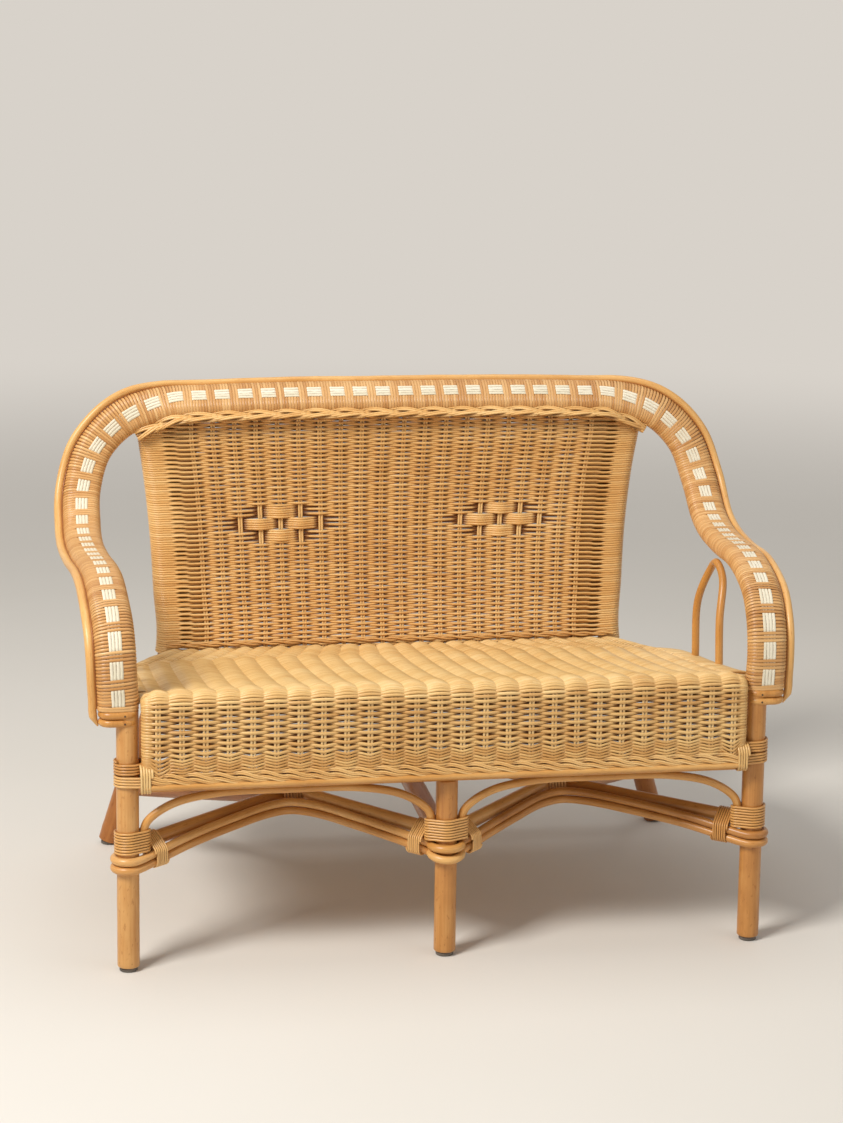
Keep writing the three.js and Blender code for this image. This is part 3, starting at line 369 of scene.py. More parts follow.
def rattan(name, dark, middle, light, gloss, groove_shade=0.0):
    """Satin cane: long fibres along it, a shade of its own for each strand, and in a weave painted shade on
    the flanks and on the parts that pass behind.
    """
    material = bpy.data.materials.new(name)
    n = Nodes(material)
    uv = n.add("ShaderNodeUVMap", uv_map="strand").outputs["UV"]
    place = n.add("ShaderNodeTexCoord").outputs["Object"]
    fibres = n.noise(n.scaled(uv, FIBRE_SCALE), 1.0, 4, 0.6)
    streaks = n.noise(n.scaled(uv, STREAK_SCALE), 1.0, 3, 0.6)
    blotches = n.noise(place, BLOTCH_SCALE, 3, 0.6, 0.4)
    shade = n.times(n.attribute("tint"), 0.26)
    for layer, weight in ((blotches, 0.34), (fibres, 0.26), (streaks, 0.24)):
        shade = n.math("ADD", shade, n.times(layer, weight))
    colour = n.ramp(shade, (0.32, linear(*dark)), (0.53, linear(*middle)), (0.78, linear(*light)))
    specks = n.noise(n.scaled(uv, SPECK_SCALE), 1.4, 2, 0.6)
    specks = n.ramp(specks, (0.30, SPECK), (0.40, WHOLE))
    colour = n.mixed(0.55, colour, n.mixed(1.0, colour, specks, "MULTIPLY"))
    # Painted shade: darkens each strand's flanks, where it meets its neighbours, and the side that passes
    # behind other strands, as its lift tells.
    if groove_shade:
        around = n.add("ShaderNodeSeparateXYZ", {"Vector": uv}).outputs["Y"]
        inward = n.math("COSINE", n.times(around, 2 * math.pi))
        beside = n.math("SUBTRACT", 1.0, n.times(inward, inward))
        painted_shade_mask = n.math("ADD", n.times(beside, beside, 0.52), n.times(inward, n.attribute("lift"), 0.8))
        painted_shade_mask = n.ramp(painted_shade_mask, (0.14, BLACK), (0.66, WHOLE))
        colour = n.mixed(n.times(painted_shade_mask, groove_shade), colour, n.mixed(1.0, colour, GROOVE_SHADE_COLOUR, "MULTIPLY"))
    n.skin(colour, n.ranged(blotches, gloss - 0.08, gloss + 0.14), streaks, 0.35, STREAK_RELIEF)
    n.feed(n.main, {"Specular IOR Level": 0.42, "Coat Weight": 0.2, "Coat Roughness": 0.3})
    return material


POLE = rattan("rattan_pole", (160, 98, 42), (196, 136, 70), (226, 176, 110), 0.34)
DARK_POLE = rattan("rattan_pole_dark", (132, 76, 30), (170, 106, 48), (204, 144, 78), 0.36)
BENT = rattan("bent_cane", (166, 106, 48), (204, 145, 78), (232, 184, 118), 0.32)
CANE = rattan("natural_cane", (176, 114, 48), (208, 150, 78), (234, 188, 120), 0.34)
BAND = rattan("rim_winding", (180, 122, 62), (212, 159, 96), (236, 193, 132), 0.38, groove_shade=0.45)
WINDING = rattan("cane_winding", (184, 122, 58), (218, 164, 94), (242, 202, 138), 0.34, groove_shade=1.0)
SEAT = rattan("seat_weave", (200, 149, 84), (229, 189, 124), (246, 218, 164), 0.33, groove_shade=1.0)
BACK = rattan("back_weave", (196, 140, 76), (228, 179, 110), (246, 211, 150), 0.34, groove_shade=1.0)
WHITE = rattan("white_cane", (206, 195, 165), (230, 221, 196), (245, 239, 221), 0.46, groove_shade=0.2)


def pitted(name, dark, light):
    """Matt hard material with a fine pitted skin."""
    material = bpy.data.materials.new(name)
    n = Nodes(material)
    place = n.add("ShaderNodeTexCoord").outputs["Object"]
    cloud = n.noise(place, 60, 4)
    colour = n.ramp(cloud, (0.3, linear(*dark)), (0.7, linear(*light)))
    n.skin(colour, n.ranged(cloud, 0.62, 0.82), n.noise(place, 900, 2), 0.3, PIT_RELIEF)
    return material


GLIDE = pitted("glide", (88, 82, 76), (120, 112, 103))
NAIL = pitted("nail", (56, 38, 27), (88, 64, 46))


# Rim: frames along the whole rim, from the right-hand end over the back to the left-hand end
RIM_BOTTOM_Z = SEAT_HEIGHT - 24.9
RIM_SHARES = [
    (1.0283, 0, 0), (1.0283, 0, 0.0868), (1.0315, 0.0018, 0.2811), (1.0348, 0.018, 0.5402),
    (1.0391, 0.0523, 0.7215), (1.0457, 0.1081, 0.8575), (1.0587, 0.2703, 1), (1.0848, 0.5405, 0.9741),
    (1.0978, 0.7027, 1.0025), (1.1, 0.7892, 1.085), (1.0935, 0.8847, 1.335), (1.05, 0.9243, 1.63),
    (0.95, 0.9423, 1.86), (0.8087, 0.9568, 1.9675), (0.6522, 0.9604, 1.9875), (0.3261, 0.964, 2),
    (0, 0.964, 2),
]
RIM_HALF_WIDTH = 29.5
RIM_HALF_DEPTH = 15
RIM_TILT = math.radians(47)
RIM_SPLIT_X = 0.6522 * LEG_X
RIM_STEP = 1.5
RIM_OVERRUN = 60
RIM_TURN_Y = 0.8468 * DEPTH
RIM_TILT_SHARES = (-1.0326, -0.7174)


def rim_half():
    """Centres, widths and faces of the right-hand half."""
    centre = spline(route_of(RIM_SHARES, RIM_BOTTOM_Z, ARM_HEIGHT, BACK_HEIGHT), RIM_STEP)
    tangent = unit(np.gradient(centre, axis=0))
    on_arm = unit(np.cross((1.0, 0.0, 0.0), tangent))
    on_back = unit(FORWARD - (tangent @ FORWARD)[:, None] * tangent)
    turn = smooth(RIM_TURN_Y - 2 * RIM_HALF_WIDTH, RIM_TURN_Y + RIM_HALF_DEPTH, centre[:, 1])[:, None]
    face = mix(on_arm, on_back, turn)
    face = unit(face - (face * tangent).sum(1, keepdims=True) * tangent)
    width = unit(np.cross(tangent, face))
    tilt_start, tilt_end = (share * LEG_X for share in RIM_TILT_SHARES)
    tilted = smooth(tilt_start, tilt_end, -centre[:, 0]) * (centre[:, 1] > RIM_TURN_Y)
    tilt = (RIM_TILT * tilted)[:, None]
    return centre, width * np.cos(tilt) - face * np.sin(tilt), face * np.cos(tilt) + width * np.sin(tilt)


half_rim = rim_half()
rim_tables = []
for part, beyond in zip(half_rim, ((0, 0, RIM_OVERRUN), 0, 0)):
    whole = np.vstack([part, mirror(part[-2::-1])])
    rim_tables.append(np.vstack([whole[0] - beyond, whole, whole[-1] - beyond]))
rim_s = path_length(rim_tables[0]) - RIM_OVERRUN
RIM_LENGTH = rim_s[-1] - RIM_OVERRUN
half_centre = half_rim[0]
on_top = (half_centre[:, 0] < RIM_SPLIT_X) & (half_centre[:, 2] > ARM_HEIGHT)
RIM_SPLIT = path_length(half_centre)[np.argmax(on_top)]


def on_rim(s, across, out):
    """A place on the rim, s along it, and the directions across it and out of it."""
    centre, width, face = (np.stack([np.interp(s, rim_s, column) for column in table.T], -1)
                           for table in rim_tables)
    width = unit(width)
    face = unit(face)
    return centre + width * np.asarray(across)[..., None] + face * np.asarray(out)[..., None], width, face


def stadium(share, half_width, half_depth):
    """Goes once round a flat oval: place and normal, from the middle of the face outwards."""
    straight_half = half_width - half_depth
    bend = np.pi * half_depth
    p = np.mod(share, 1) * (4 * straight_half + 2 * bend)
    first = np.clip((p - straight_half) / half_depth, 0, np.pi)
    second = np.clip((p - 3 * straight_half - bend) / half_depth, 0, np.pi)
    angle = np.pi / 2 - first - second
    centre = np.clip(np.minimum(p, 2 * straight_half + bend - p), -straight_half, straight_half)
    last = np.clip(p - 4 * straight_half - 2 * bend, -straight_half, 0)
    centre = np.where(p > 2 * straight_half + 1.5 * bend, last, centre)
    return centre + half_depth * np.cos(angle), half_depth * np.sin(angle), np.cos(angle), np.sin(angle)


SQUARE_START = 19
SQUARE_PERIOD_WISHED = 37.3
TURNS_PER_SQUARE = 8
TURNS_UNDER = 5
STRIP_HALF_WIDTH = 9.5
STRIP_LANES = 4
square_count = round((RIM_LENGTH - 2 * SQUARE_START) / SQUARE_PERIOD_WISHED)
SQUARE_PERIOD = (RIM_LENGTH - 2 * SQUARE_START) / square_count
TURN_PITCH = SQUARE_PERIOD / TURNS_PER_SQUARE
TURN_SAMPLES = 26
WINDING_INSET = 0.7
WINDING_DEPTH = RIM_HALF_DEPTH - WINDING_INSET
WINDING_WIDTH = RIM_HALF_WIDTH - WINDING_INSET
WINDING_THICKNESS = 1.3
TURN_GAP = 0.16
TURN_UNEVENNESS = 0.15
RAISE = 1.3
LAST_TURN = 1.6
CORE_INSET = 0.9
CORE_SIDES = 24
CORE_STEP = 6.0
STRIP_LEVEL = 1.25
STRIP_DIP = 1.15
STRIP_THICKNESS = 1.1
STRIP_GAP = 0.35
STRIP_STEP = 1.6
RIM_CUT = 0.8


def over_strip(s):
    """1 where the winding runs over the pale strip, and 0 where the strip shows."""
    away = np.abs(np.mod((s - SQUARE_START) / SQUARE_PERIOD + 0.5, 1) - 0.5) * TURNS_PER_SQUARE
    return smooth(TURNS_UNDER / 2 - 0.25, TURNS_UNDER / 2 + 0.25, away)


def rim_winding(start, end):
    """One flat cane wound on, whose last turn runs level at the ends of the rim."""
    first = start - TURN_PITCH * (start < LAST_TURN)
    last = end + TURN_PITCH * (end > RIM_LENGTH - LAST_TURN)
    s = np.linspace(first, last, int((last - first) / TURN_PITCH * TURN_SAMPLES))
    share = (s - SQUARE_START) / TURN_PITCH
    s = np.clip(s, LAST_TURN, RIM_LENGTH - LAST_TURN)
    across, out, side_x, side_y = stadium(share, WINDING_WIDTH, WINDING_DEPTH)
    turn = np.round(share)
    over = over_strip(SQUARE_START + turn * TURN_PITCH)
    on_strip = (out > 0) * (1 - smooth(STRIP_HALF_WIDTH, STRIP_HALF_WIDTH + 4, np.abs(across)))
    shades = random.uniform(0, 1, int(turn.max() - turn.min()) + 2)
    shade = shades[(np.floor(share + 0.5) - turn.min()).astype(int)]
    lift = RAISE * over * on_strip + TURN_UNEVENNESS * (shade - 0.5)
    spot, width, face = on_rim(s, across + lift * side_x, out + lift * side_y)
    normal = width * side_x[:, None] + face * side_y[:, None]
    section = flat_section(TURN_PITCH - TURN_GAP, WINDING_THICKNESS)
    return Bundle().strand(spot, section, normal, tints=shade)


def rim_core(start, end):
    """The core under the winding, in the dark pole's colour, which shows between the turns as dark lines:
    partly the real core, partly painted shade of the gaps.
    """
    s = np.arange(start, end, CORE_STEP)
    share = -np.arange(CORE_SIDES) / CORE_SIDES
    across, out, _, _ = stadium(share, WINDING_WIDTH - CORE_INSET, WINDING_DEPTH - CORE_INSET)
    return Bundle().loft(np.stack([on_rim(s, a, o)[0] for a, o in zip(across, out)], 1), 0.0)


def rim_strip(start, end):
    """Flat pale canes side by side, which dip under the winding."""
    bundle = Bundle()
    s = np.arange(start, end, STRIP_STEP)
    out = WINDING_DEPTH + STRIP_LEVEL - STRIP_DIP * over_strip(s)
    lane_width = 2 * STRIP_HALF_WIDTH / STRIP_LANES
    for lane in range(STRIP_LANES):
        across = (lane - (STRIP_LANES - 1) / 2) * lane_width + wander(len(s), 0.12, 25)
        spot, _, face = on_rim(s, across, out)
        bundle.strand(spot, flat_section(lane_width - STRIP_GAP, STRIP_THICKNESS), face)
    return bundle


for word, start, end in (("right", RIM_CUT, RIM_SPLIT), ("top", RIM_SPLIT, RIM_LENGTH - RIM_SPLIT),
                         ("left", RIM_LENGTH - RIM_SPLIT, RIM_LENGTH - RIM_CUT)):
    piece(f"rim_winding_{word}", rim_winding(start, end), BAND, "cane_winding", f"rim_band_{word}")
    piece(f"rim_core_{word}", rim_core(start, end), DARK_POLE, "cane_winding", f"rim_band_{word}")
    piece(f"white_canes_{word}", rim_strip(start, end), WHITE, "white_cane", f"white_strip_{word}")

OUTER_CANE_RADIUS = 6
OUTER_CANE_DROP = 24
OUTER_CANE_LEAN = 3
OUTER_CANE_CUT = 15
OUTER_CANE_TAPER = 0.85
OUTER_CANE_GAP = 0.6
SEAM_RADIUS = 1.3
SEAM_REACH = RIM_HALF_WIDTH + 0.5
SEAM_OUT = 2.0


def swellings(s, every, size, width=5):
    """Slight swellings at the joints of the cane."""
    return 1 + size * np.exp(-(((np.mod(s, every) - every / 2) / width) ** 2))


def outer_cane():
    """The cane along the rim's outer edge, with slanting cuts below both arms."""
    s = np.arange(-OUTER_CANE_DROP, RIM_LENGTH + OUTER_CANE_DROP + 1, 2.5)
    beyond = np.maximum(np.maximum(-s, s - RIM_LENGTH), 0)
    cut = np.clip((beyond - OUTER_CANE_DROP + OUTER_CANE_CUT) / OUTER_CANE_CUT, 0, 1)
    size = 1 - OUTER_CANE_TAPER * cut
    offset = RIM_HALF_WIDTH + OUTER_CANE_GAP + OUTER_CANE_RADIUS * size
    offset = offset - OUTER_CANE_LEAN * beyond / OUTER_CANE_DROP
    spot, _, face = on_rim(s, offset + wander(len(s), 0.15, 90), wander(len(s), 0.2, 70))
    size = size * swellings(s - 5, 290, 0.035, 4)
    return Bundle().strand(spot, round_section(OUTER_CANE_RADIUS, 18), face, size)


def rim_seam_shade():
    """Two dark strands in the groove between the band and the outer cane: painted shade of the gap."""
    bundle = Bundle()
    s = np.arange(2, RIM_LENGTH - 2, 4.0)
    for out in (SEAM_OUT, -SEAM_OUT):
        spot, _, face = on_rim(s, SEAM_REACH, out)
        bundle.strand(spot, round_section(SEAM_RADIUS, 6), face, tints=0.1)
    return bundle


piece("rim_outer_cane_dressed", outer_cane(), CANE, "natural_cane", "rim_outer_cane")
piece("rim_seam_shade", rim_seam_shade(), DARK_POLE, "cane_winding")

COLLAR_HEIGHT = 11
COLLAR_HALF_LENGTH = 28.5
COLLAR_HALF_DEPTH = 19
COLLAR_SIDES = 48
COLLAR_X = 1.0283 * LEG_X
UPPER_COLLAR_Z = RIM_BOTTOM_Z - CLEARANCE - COLLAR_HEIGHT
LOWER_COLLAR_Z = UPPER_COLLAR_Z - CLEARANCE - COLLAR_HEIGHT
NAIL_RADIUS = 1.5
NAIL_HEIGHT = 0.8
NAIL_X = LEG_X + 4
NAIL_Y = -COLLAR_HALF_DEPTH + 0.2
NAIL_NORMAL = (1, 0, -0.3)


def collar(x, bottom):
    """A flat roll with a rounded edge round the leg."""
    rings = []
    share = np.arange(COLLAR_SIDES) / COLLAR_SIDES
    for angle in np.linspace(-np.pi / 2, np.pi / 2, 9):
        inset = COLLAR_HEIGHT / 2 * (1 - np.cos(angle))
        across, deep, _, _ = stadium(share, COLLAR_HALF_LENGTH - inset, COLLAR_HALF_DEPTH - inset)
        rings.append(spots(x + across, deep, bottom + COLLAR_HEIGHT / 2 * (1 + np.sin(angle))))
    return Bundle().loft(rings)


nails = Bundle()
nail_curve = np.linspace(np.pi / 2 * 0.94, 0, 5)
for side, word in SIDES:
    for level, bottom in (("upper", UPPER_COLLAR_Z), ("lower", LOWER_COLLAR_Z)):
        node = f"collar_roll_{level}_{word}"
        piece(f"{node}_dressed", collar(side * COLLAR_X, bottom), CANE, "natural_cane", node)
        head = (side * NAIL_X, NAIL_Y, bottom + COLLAR_HEIGHT / 2)
        path = head + np.outer(NAIL_HEIGHT * np.sin(nail_curve), FORWARD)
        nails.strand(path, round_section(NAIL_RADIUS, 12), NAIL_NORMAL, np.cos(nail_curve))
piece("collar_nails", nails, NAIL, "glide")


# Rear legs, which run on as the posts of the back
REAR_LEG_SHARES = [
    (1.0043, 1, 0.0189), (0.95, 0.9883, 0.2703), (0.7913, 0.9532, 1), (0.7978, 0.9694, 1.2377),
    (0.8087, 0.982, 1.4583), (0.8283, 0.9838, 1.6789), (0.85, 0.9748, 1.8505),
]
rear_leg = spline(route_of(REAR_LEG_SHARES, 0, SEAT_BACK_Z, BACK_HEIGHT), 4)


def rear_leg_at(z):
    """Centre of the right-hand rear leg at a height."""
    return np.interp(z, rear_leg[:, 2], rear_leg[:, 0]), np.interp(z, rear_leg[:, 2], rear_leg[:, 1])


KNOT_SPACING = 260
KNOT_SIZE = 0.03
BEVEL_STEP = 0.3


def pole(name, path, radius, material, slot, node, sides=28, knots=KNOT_SIZE, first=90, bevel=1.5):
    """A round pole with softened ends and slight swellings."""
    start = unit(path[1] - path[0])
    end = unit(path[-1] - path[-2])
    head = [path[0], path[0] + start * bevel * BEVEL_STEP, path[0] + start * bevel]
    tail = [path[-1] - end * bevel, path[-1] - end * bevel * BEVEL_STEP, path[-1]]
    path = np.vstack([head, path[1:-1], tail])
    size = swellings(path_length(path) - first, KNOT_SPACING, knots)
    size[[0, -1]] *= 1 - bevel / radius
    size[[1, -2]] *= 1 - BEVEL_STEP * bevel / radius
    piece(name, Bundle().strand(path, round_section(radius, sides), scale=size), material, slot, node)


# Front legs and glides
LEG_TOP_Z = RIM_BOTTOM_Z - CLEARANCE
APRON_BOTTOM_Z = SEAT_HEIGHT - 124.5
FRONT_RAIL_Z = APRON_BOTTOM_Z - 11
FRONT_RAIL_RADIUS = 9
MIDDLE_LEG_TOP_Z = FRONT_RAIL_Z - FRONT_RAIL_RADIUS - CLEARANCE
REAR_GLIDE_X = 1.0043 * LEG_X
LEGS = (("left", -LEG_X, LEG_TOP_Z), ("middle", 0, MIDDLE_LEG_TOP_Z), ("right", LEG_X, LEG_TOP_Z))
for word, x, top in LEGS:
    pole(f"leg_{word}", straight((x, 0, GLIDE_HEIGHT + CLEARANCE), (x, 0, top)), LEG_RADIUS, POLE,
         "rattan_pole", f"front_leg_{word}", sides=36, first=60 + 0.2 * x, knots=0.015, bevel=2)


GLIDE_SIDES = 32
GLIDE_PROFILE = (
    (0.9, GLIDE_HEIGHT), (0.97, GLIDE_HEIGHT - 0.3), (1, GLIDE_HEIGHT - 1.2), (1, 0.8), (0.93, 0),
)


def glide(name, x, y):
    """A turned foot, as wide as most of the leg."""
    turn = np.arange(GLIDE_SIDES) * 2 * np.pi / GLIDE_SIDES
    circle = spots(np.cos(turn), np.sin(turn), 0)
    rings = [circle * GLIDE_RADIUS * reach + (x, y, z) for reach, z in GLIDE_PROFILE]
    piece(f"glide_{name}", Bundle().loft(rings), GLIDE, "glide", f"foot_glide_{name}")


for word, x, y in (("front_left", -LEG_X, 0), ("front_middle", 0, 0), ("front_right", LEG_X, 0),
                   ("rear_left", -REAR_GLIDE_X, DEPTH), ("rear_right", REAR_GLIDE_X, DEPTH)):
    glide(word, x, y)

POST_SHIFT = 4
POST_RADIUS = 14.5
POST_EASE = 40
POST_KNOT = 150
above_seat = smooth(SEAT_BACK_Z - POST_EASE, SEAT_BACK_Z + POST_EASE, rear_leg[:, 2])
post_size = mix(1.0, POST_RADIUS / REAR_LEG_RADIUS, above_seat)
post_size = post_size * swellings(path_length(rear_leg) - POST_KNOT, KNOT_SPACING, KNOT_SIZE)
post_route = rear_leg + np.outer(above_seat * POST_SHIFT, (1, 0, 0))
post_route[0, 2] = GLIDE_HEIGHT + CLEARANCE
for side, word in SIDES:
    bundle = Bundle().strand(mirror(post_route, side), round_section(REAR_LEG_RADIUS, 32), scale=post_size)
    piece(f"rear_post_{word}", bundle, DARK_POLE, "dark_pole", f"rear_leg_{word}")


# Seat: the middle surface of the weave, from its rear edge over the front roll to the apron's foot
SEAT_PROFILE_SHARES = [
    (0.9117, 0.819), (0.7928, 0.8299), (0.5946, 0.8627), (0.3964, 0.904), (0.2162, 0.9453), (0.0901, 0.9793),
    (0.018, 0.9964),
]
SEAT_ROLL_Y = -8
SEAT_ROLL_RADIUS = 22.5
SEAT_ROLL_Z = SEAT_HEIGHT - SEAT_ROLL_RADIUS
APRON_Y = SEAT_ROLL_Y - SEAT_ROLL_RADIUS
SEAT_THICKNESS = 8.5
SEAT_SIDE_DROP = 8
SEAT_FRONT_HALF = LEG_X - LEG_RADIUS - 1.6
SIDE_RAIL_SHARES = np.array([
    (0.0306, 0.9978), (0.1081, 0.9989), (0.6306, 0.9989), (0.7117, 0.9848), (0.7784, 0.9348),
    (0.8342, 0.8696), (0.9117, 0.8),
])
WEAVER = 2.36
STAKE = 2.1
STAKE_APART = 2.3
EDGE_ROOM = 12
SEAT_WAVE = 3.1
RIB_WAVE = 4.6
RIB_SINK = 1.0
STAKE_COUNT = 26
STAKE_PITCH = 33.7
LAST_STAKE = (STAKE_COUNT - 1) / 2 * STAKE_PITCH
APRON_CURL_RADIUS = 9.5
SIDE_CURL_RADIUS = 16.5
APRON_EDGE_X = SEAT_FRONT_HALF - WEAVER - APRON_CURL_RADIUS
FRONT_MEETING = (0.0396, 0.0829)
REAR_MEETING = (0.7748, 0.8757)
DROP_FRONT = (-0.018, 0.1081)
DROP_REAR = (0.7748, 0.8919)
DROP_REACH = 0.95 * LEG_X
FRONT_TURNS = (100, 190)
SIDE_TURN = 150


def seat_profile():
    """Lengths along the profile, and its y, z and the normal's y, z."""
    top = [(y * DEPTH, z * SEAT_HEIGHT) for y, z in SEAT_PROFILE_SHARES]
    top = spline([*top, (SEAT_ROLL_Y, SEAT_HEIGHT)], 2)
    turn = np.linspace(0, np.pi / 2, 20)[1:]
    arc = spots(SEAT_ROLL_Y - SEAT_ROLL_RADIUS * np.sin(turn), SEAT_ROLL_Z + SEAT_ROLL_RADIUS * np.cos(turn))
    down = spots(APRON_Y, np.linspace(SEAT_ROLL_Z, APRON_BOTTOM_Z, 61)[1:])
    outer = evenly(np.vstack([top, arc, down]), 1.5)
    run = unit(np.gradient(outer, axis=0))
    return path_length(outer), outer[:, 0], outer[:, 1], run[:, 1], -run[:, 0]


seat_v, seat_y, seat_z, *seat_normal = seat_profile()
SEAT_RUN = seat_v[-1]
APRON_RUN = SEAT_ROLL_Z - APRON_BOTTOM_Z
ROLL_RUN = np.pi / 2 * SEAT_ROLL_RADIUS
OPEN_START = SEAT_RUN - APRON_RUN - 0.9 * ROLL_RUN
OPEN_END = SEAT_RUN - 35
OPEN_PITCH = 4.45
CLOSE_PITCH = 2.2
OPEN_RAMP = 42
FIRST_ROW = 3.0
LAST_ROW = SEAT_RUN - 7
FOOT_RAMP = 30
FOOT_PULL = 0.4
FOOT_SIZE = 0.74
OPEN_SAG = 2.9
LAST_SAG = 0.8
OPEN_DRIFT = 2.4
APRON_PAINTED_SHADE = 0.55
CORNER_DIP = 8.0
END_RISE = 3.0
WEAVER_WIDTH = 1.14
STAKE_STEP = 5.0


def seat_at(y, values):
    """What the profile has at a place between front and rear."""
    return np.interp(-y, -seat_y, values)


def rail_x(y):
    return LEG_X * np.interp(y / DEPTH, SIDE_RAIL_SHARES[:, 0], SIDE_RAIL_SHARES[:, 1])


def opened(v):
    """0 on the close weave of the seat, and 1 on the open weave of the apron."""
    return smooth(OPEN_START, OPEN_START + OPEN_RAMP, v)


def seat_edge(v):
    """Where the weave turns round the rail, the radius there, and how far it turns."""
    y = np.interp(v, seat_v, seat_y)
    meeting = smooth(*FRONT_MEETING, y / DEPTH)
    on_apron = smooth(SEAT_RUN - APRON_RUN - ROLL_RUN, SEAT_RUN - APRON_RUN, v)
    front_turn = np.radians(mix(*FRONT_TURNS, on_apron))
    rear = 1 - smooth(*REAR_MEETING, y / DEPTH)
    edge = mix(APRON_EDGE_X, rail_x(y), meeting)
    radius = mix(APRON_CURL_RADIUS, SIDE_CURL_RADIUS, meeting)
    return edge, radius, mix(front_turn, math.radians(SIDE_TURN), meeting) * rear


def seat_place(v, x, turn, lift):
    """A place on the weave: v along it, x across, turn round the edge, and lift off its middle surface."""
    y, z, ny, nz = (np.interp(v, seat_v, values) for values in (seat_y, seat_z, *seat_normal))
    radius = seat_edge(v)[1]
    drop = SEAT_SIDE_DROP * smooth(*DROP_FRONT, y / DEPTH) * (1 - smooth(*DROP_REAR, y / DEPTH))
    drop = drop * np.clip(np.abs(x) / DROP_REACH, 0, 1) ** 4
    reach = radius + lift
    inward = drop + SEAT_THICKNESS / 2 + radius - reach * np.cos(turn)
    side = np.sign(x)
    spot = spots(x + side * reach * np.sin(turn), y - ny * inward, z - nz * inward)
    return spot, spots(side * np.sin(turn), ny * np.cos(turn), nz * np.cos(turn))


def column_wave(signs, share):
    """Goes smoothly from each column's side to the next; share counts columns."""
    low = np.clip(np.floor(share).astype(int), 0, signs.shape[-1] - 1)
    high = np.clip(low + 1, 0, signs.shape[-1] - 1)
    ease = (1 - np.cos(np.pi * np.clip(share - low, 0, 1))) / 2
    return mix(np.take_along_axis(signs, low, -1), np.take_along_axis(signs, high, -1), ease)


def lengthened(row, part, side):
    """Rows of places with a further part joined to their left or right end."""
    return np.hstack([part[:, ::-1], row] if side < 0 else [row, part])


def seat_rows():
    """Where each weaver runs along the profile: close on the seat and at the foot, open on the apron."""
    rows = [FIRST_ROW]
    while rows[-1] < LAST_ROW:
        v = rows[-1]
        share = opened(v) * (v < OPEN_END)
        closer = FOOT_PULL * smooth(OPEN_END - FOOT_RAMP, OPEN_END, v) * share
        rows.append(v + mix(CLOSE_PITCH, OPEN_PITCH, share) - closer)
    return np.stack([rows, np.arange(len(rows)) % 2], -1)


def stake_x(v, column):
    """How far across the seat a column of stakes lies."""
    scale = np.minimum(1, (seat_edge(v)[0] - EDGE_ROOM) / LAST_STAKE)
    return (column - (STAKE_COUNT - 1) / 2) * STAKE_PITCH * scale


def seat_weavers(rows, steps):
    """Paths, normals and lifts of the weavers of these rows, which turn round both side rails."""
    v, odd = (rows[:, i, None] for i in range(2))
    share = np.linspace(0, STAKE_COUNT - 1, (STAKE_COUNT - 1) * steps + 1)[None]
    signs = (-1.0) ** (odd + np.arange(STAKE_COUNT))
    wave = column_wave(signs, np.broadcast_to(share, (len(rows), share.size)))
    drift = np.stack([wander(share.size, 0.1, 70) for _ in rows])
    beside = 1 - np.abs(np.sin(np.pi * share)) ** 1.5
    low = smooth(OPEN_END - 12, LAST_ROW, v)
    sag = OPEN_SAG * smooth(OPEN_END - FOOT_RAMP, OPEN_END + 6, v)
    sag = mix(sag, LAST_SAG, smooth(LAST_ROW - 10, LAST_ROW, v))
    from_edge = np.minimum(share, STAKE_COUNT - 1 - share)
    corner = CORNER_DIP * low * (1 - smooth(0.1, 0.75, from_edge))
    row_v = v + drift * mix(1.0, OPEN_DRIFT, opened(v)) + sag * beside - sag / 2 + corner
    flat = stake_x(v, share)
    ribs = 1 - smooth(OPEN_START - 10, OPEN_START + OPEN_RAMP, v)
    amount = mix(SEAT_WAVE, RIB_WAVE, ribs) * wave - RIB_SINK * ribs
    edge, _, turn_limit = seat_edge(v)
    gap = np.linspace(0, 1, 5)[None, 1:]
    turn = turn_limit * np.linspace(0, 1, 9)[None, 1:]
    end_v = v - END_RISE * low
    joined = [row_v, flat, np.zeros_like(flat), amount]
    for side, end in ((-1, 0), (1, -1)):
        gap_lift = amount[:, end, None] * (1 + np.cos(np.pi * gap)) / 2
        ends = (
            (mix(row_v[:, end, None], end_v, gap), end_v + 0 * turn),
            (mix(flat[:, end, None], side * edge, gap), side * edge + 0 * turn),
            (np.zeros_like(gap_lift), turn),
            (gap_lift, np.zeros_like(turn)),
        )
        joined = [lengthened(row, np.hstack(parts), side) for row, parts in zip(joined, ends)]
    lifts = np.clip(joined[3] / SEAT_WAVE, -1, 1) * opened(v)
    return *seat_place(*joined), lifts


SIDE_WRAP_PITCH = 31.0
SIDE_WRAP_STRANDS = 6
SIDE_WRAP_SPACING = 4.4
SIDE_WRAP_RADIUS = 2.2
SIDE_WRAP_INNER = 40.0
SIDE_WRAP_ROUND = 38.0
SIDE_WRAP_SLANT = 20.0
SIDE_WRAP_RANGE = (0.74, 0.1)
SIDE_WRAP_LIFTS = ((6.4, 0, 0.2), (-2.2, 0.35, 0.6), (-3.0, 0.85, 1))


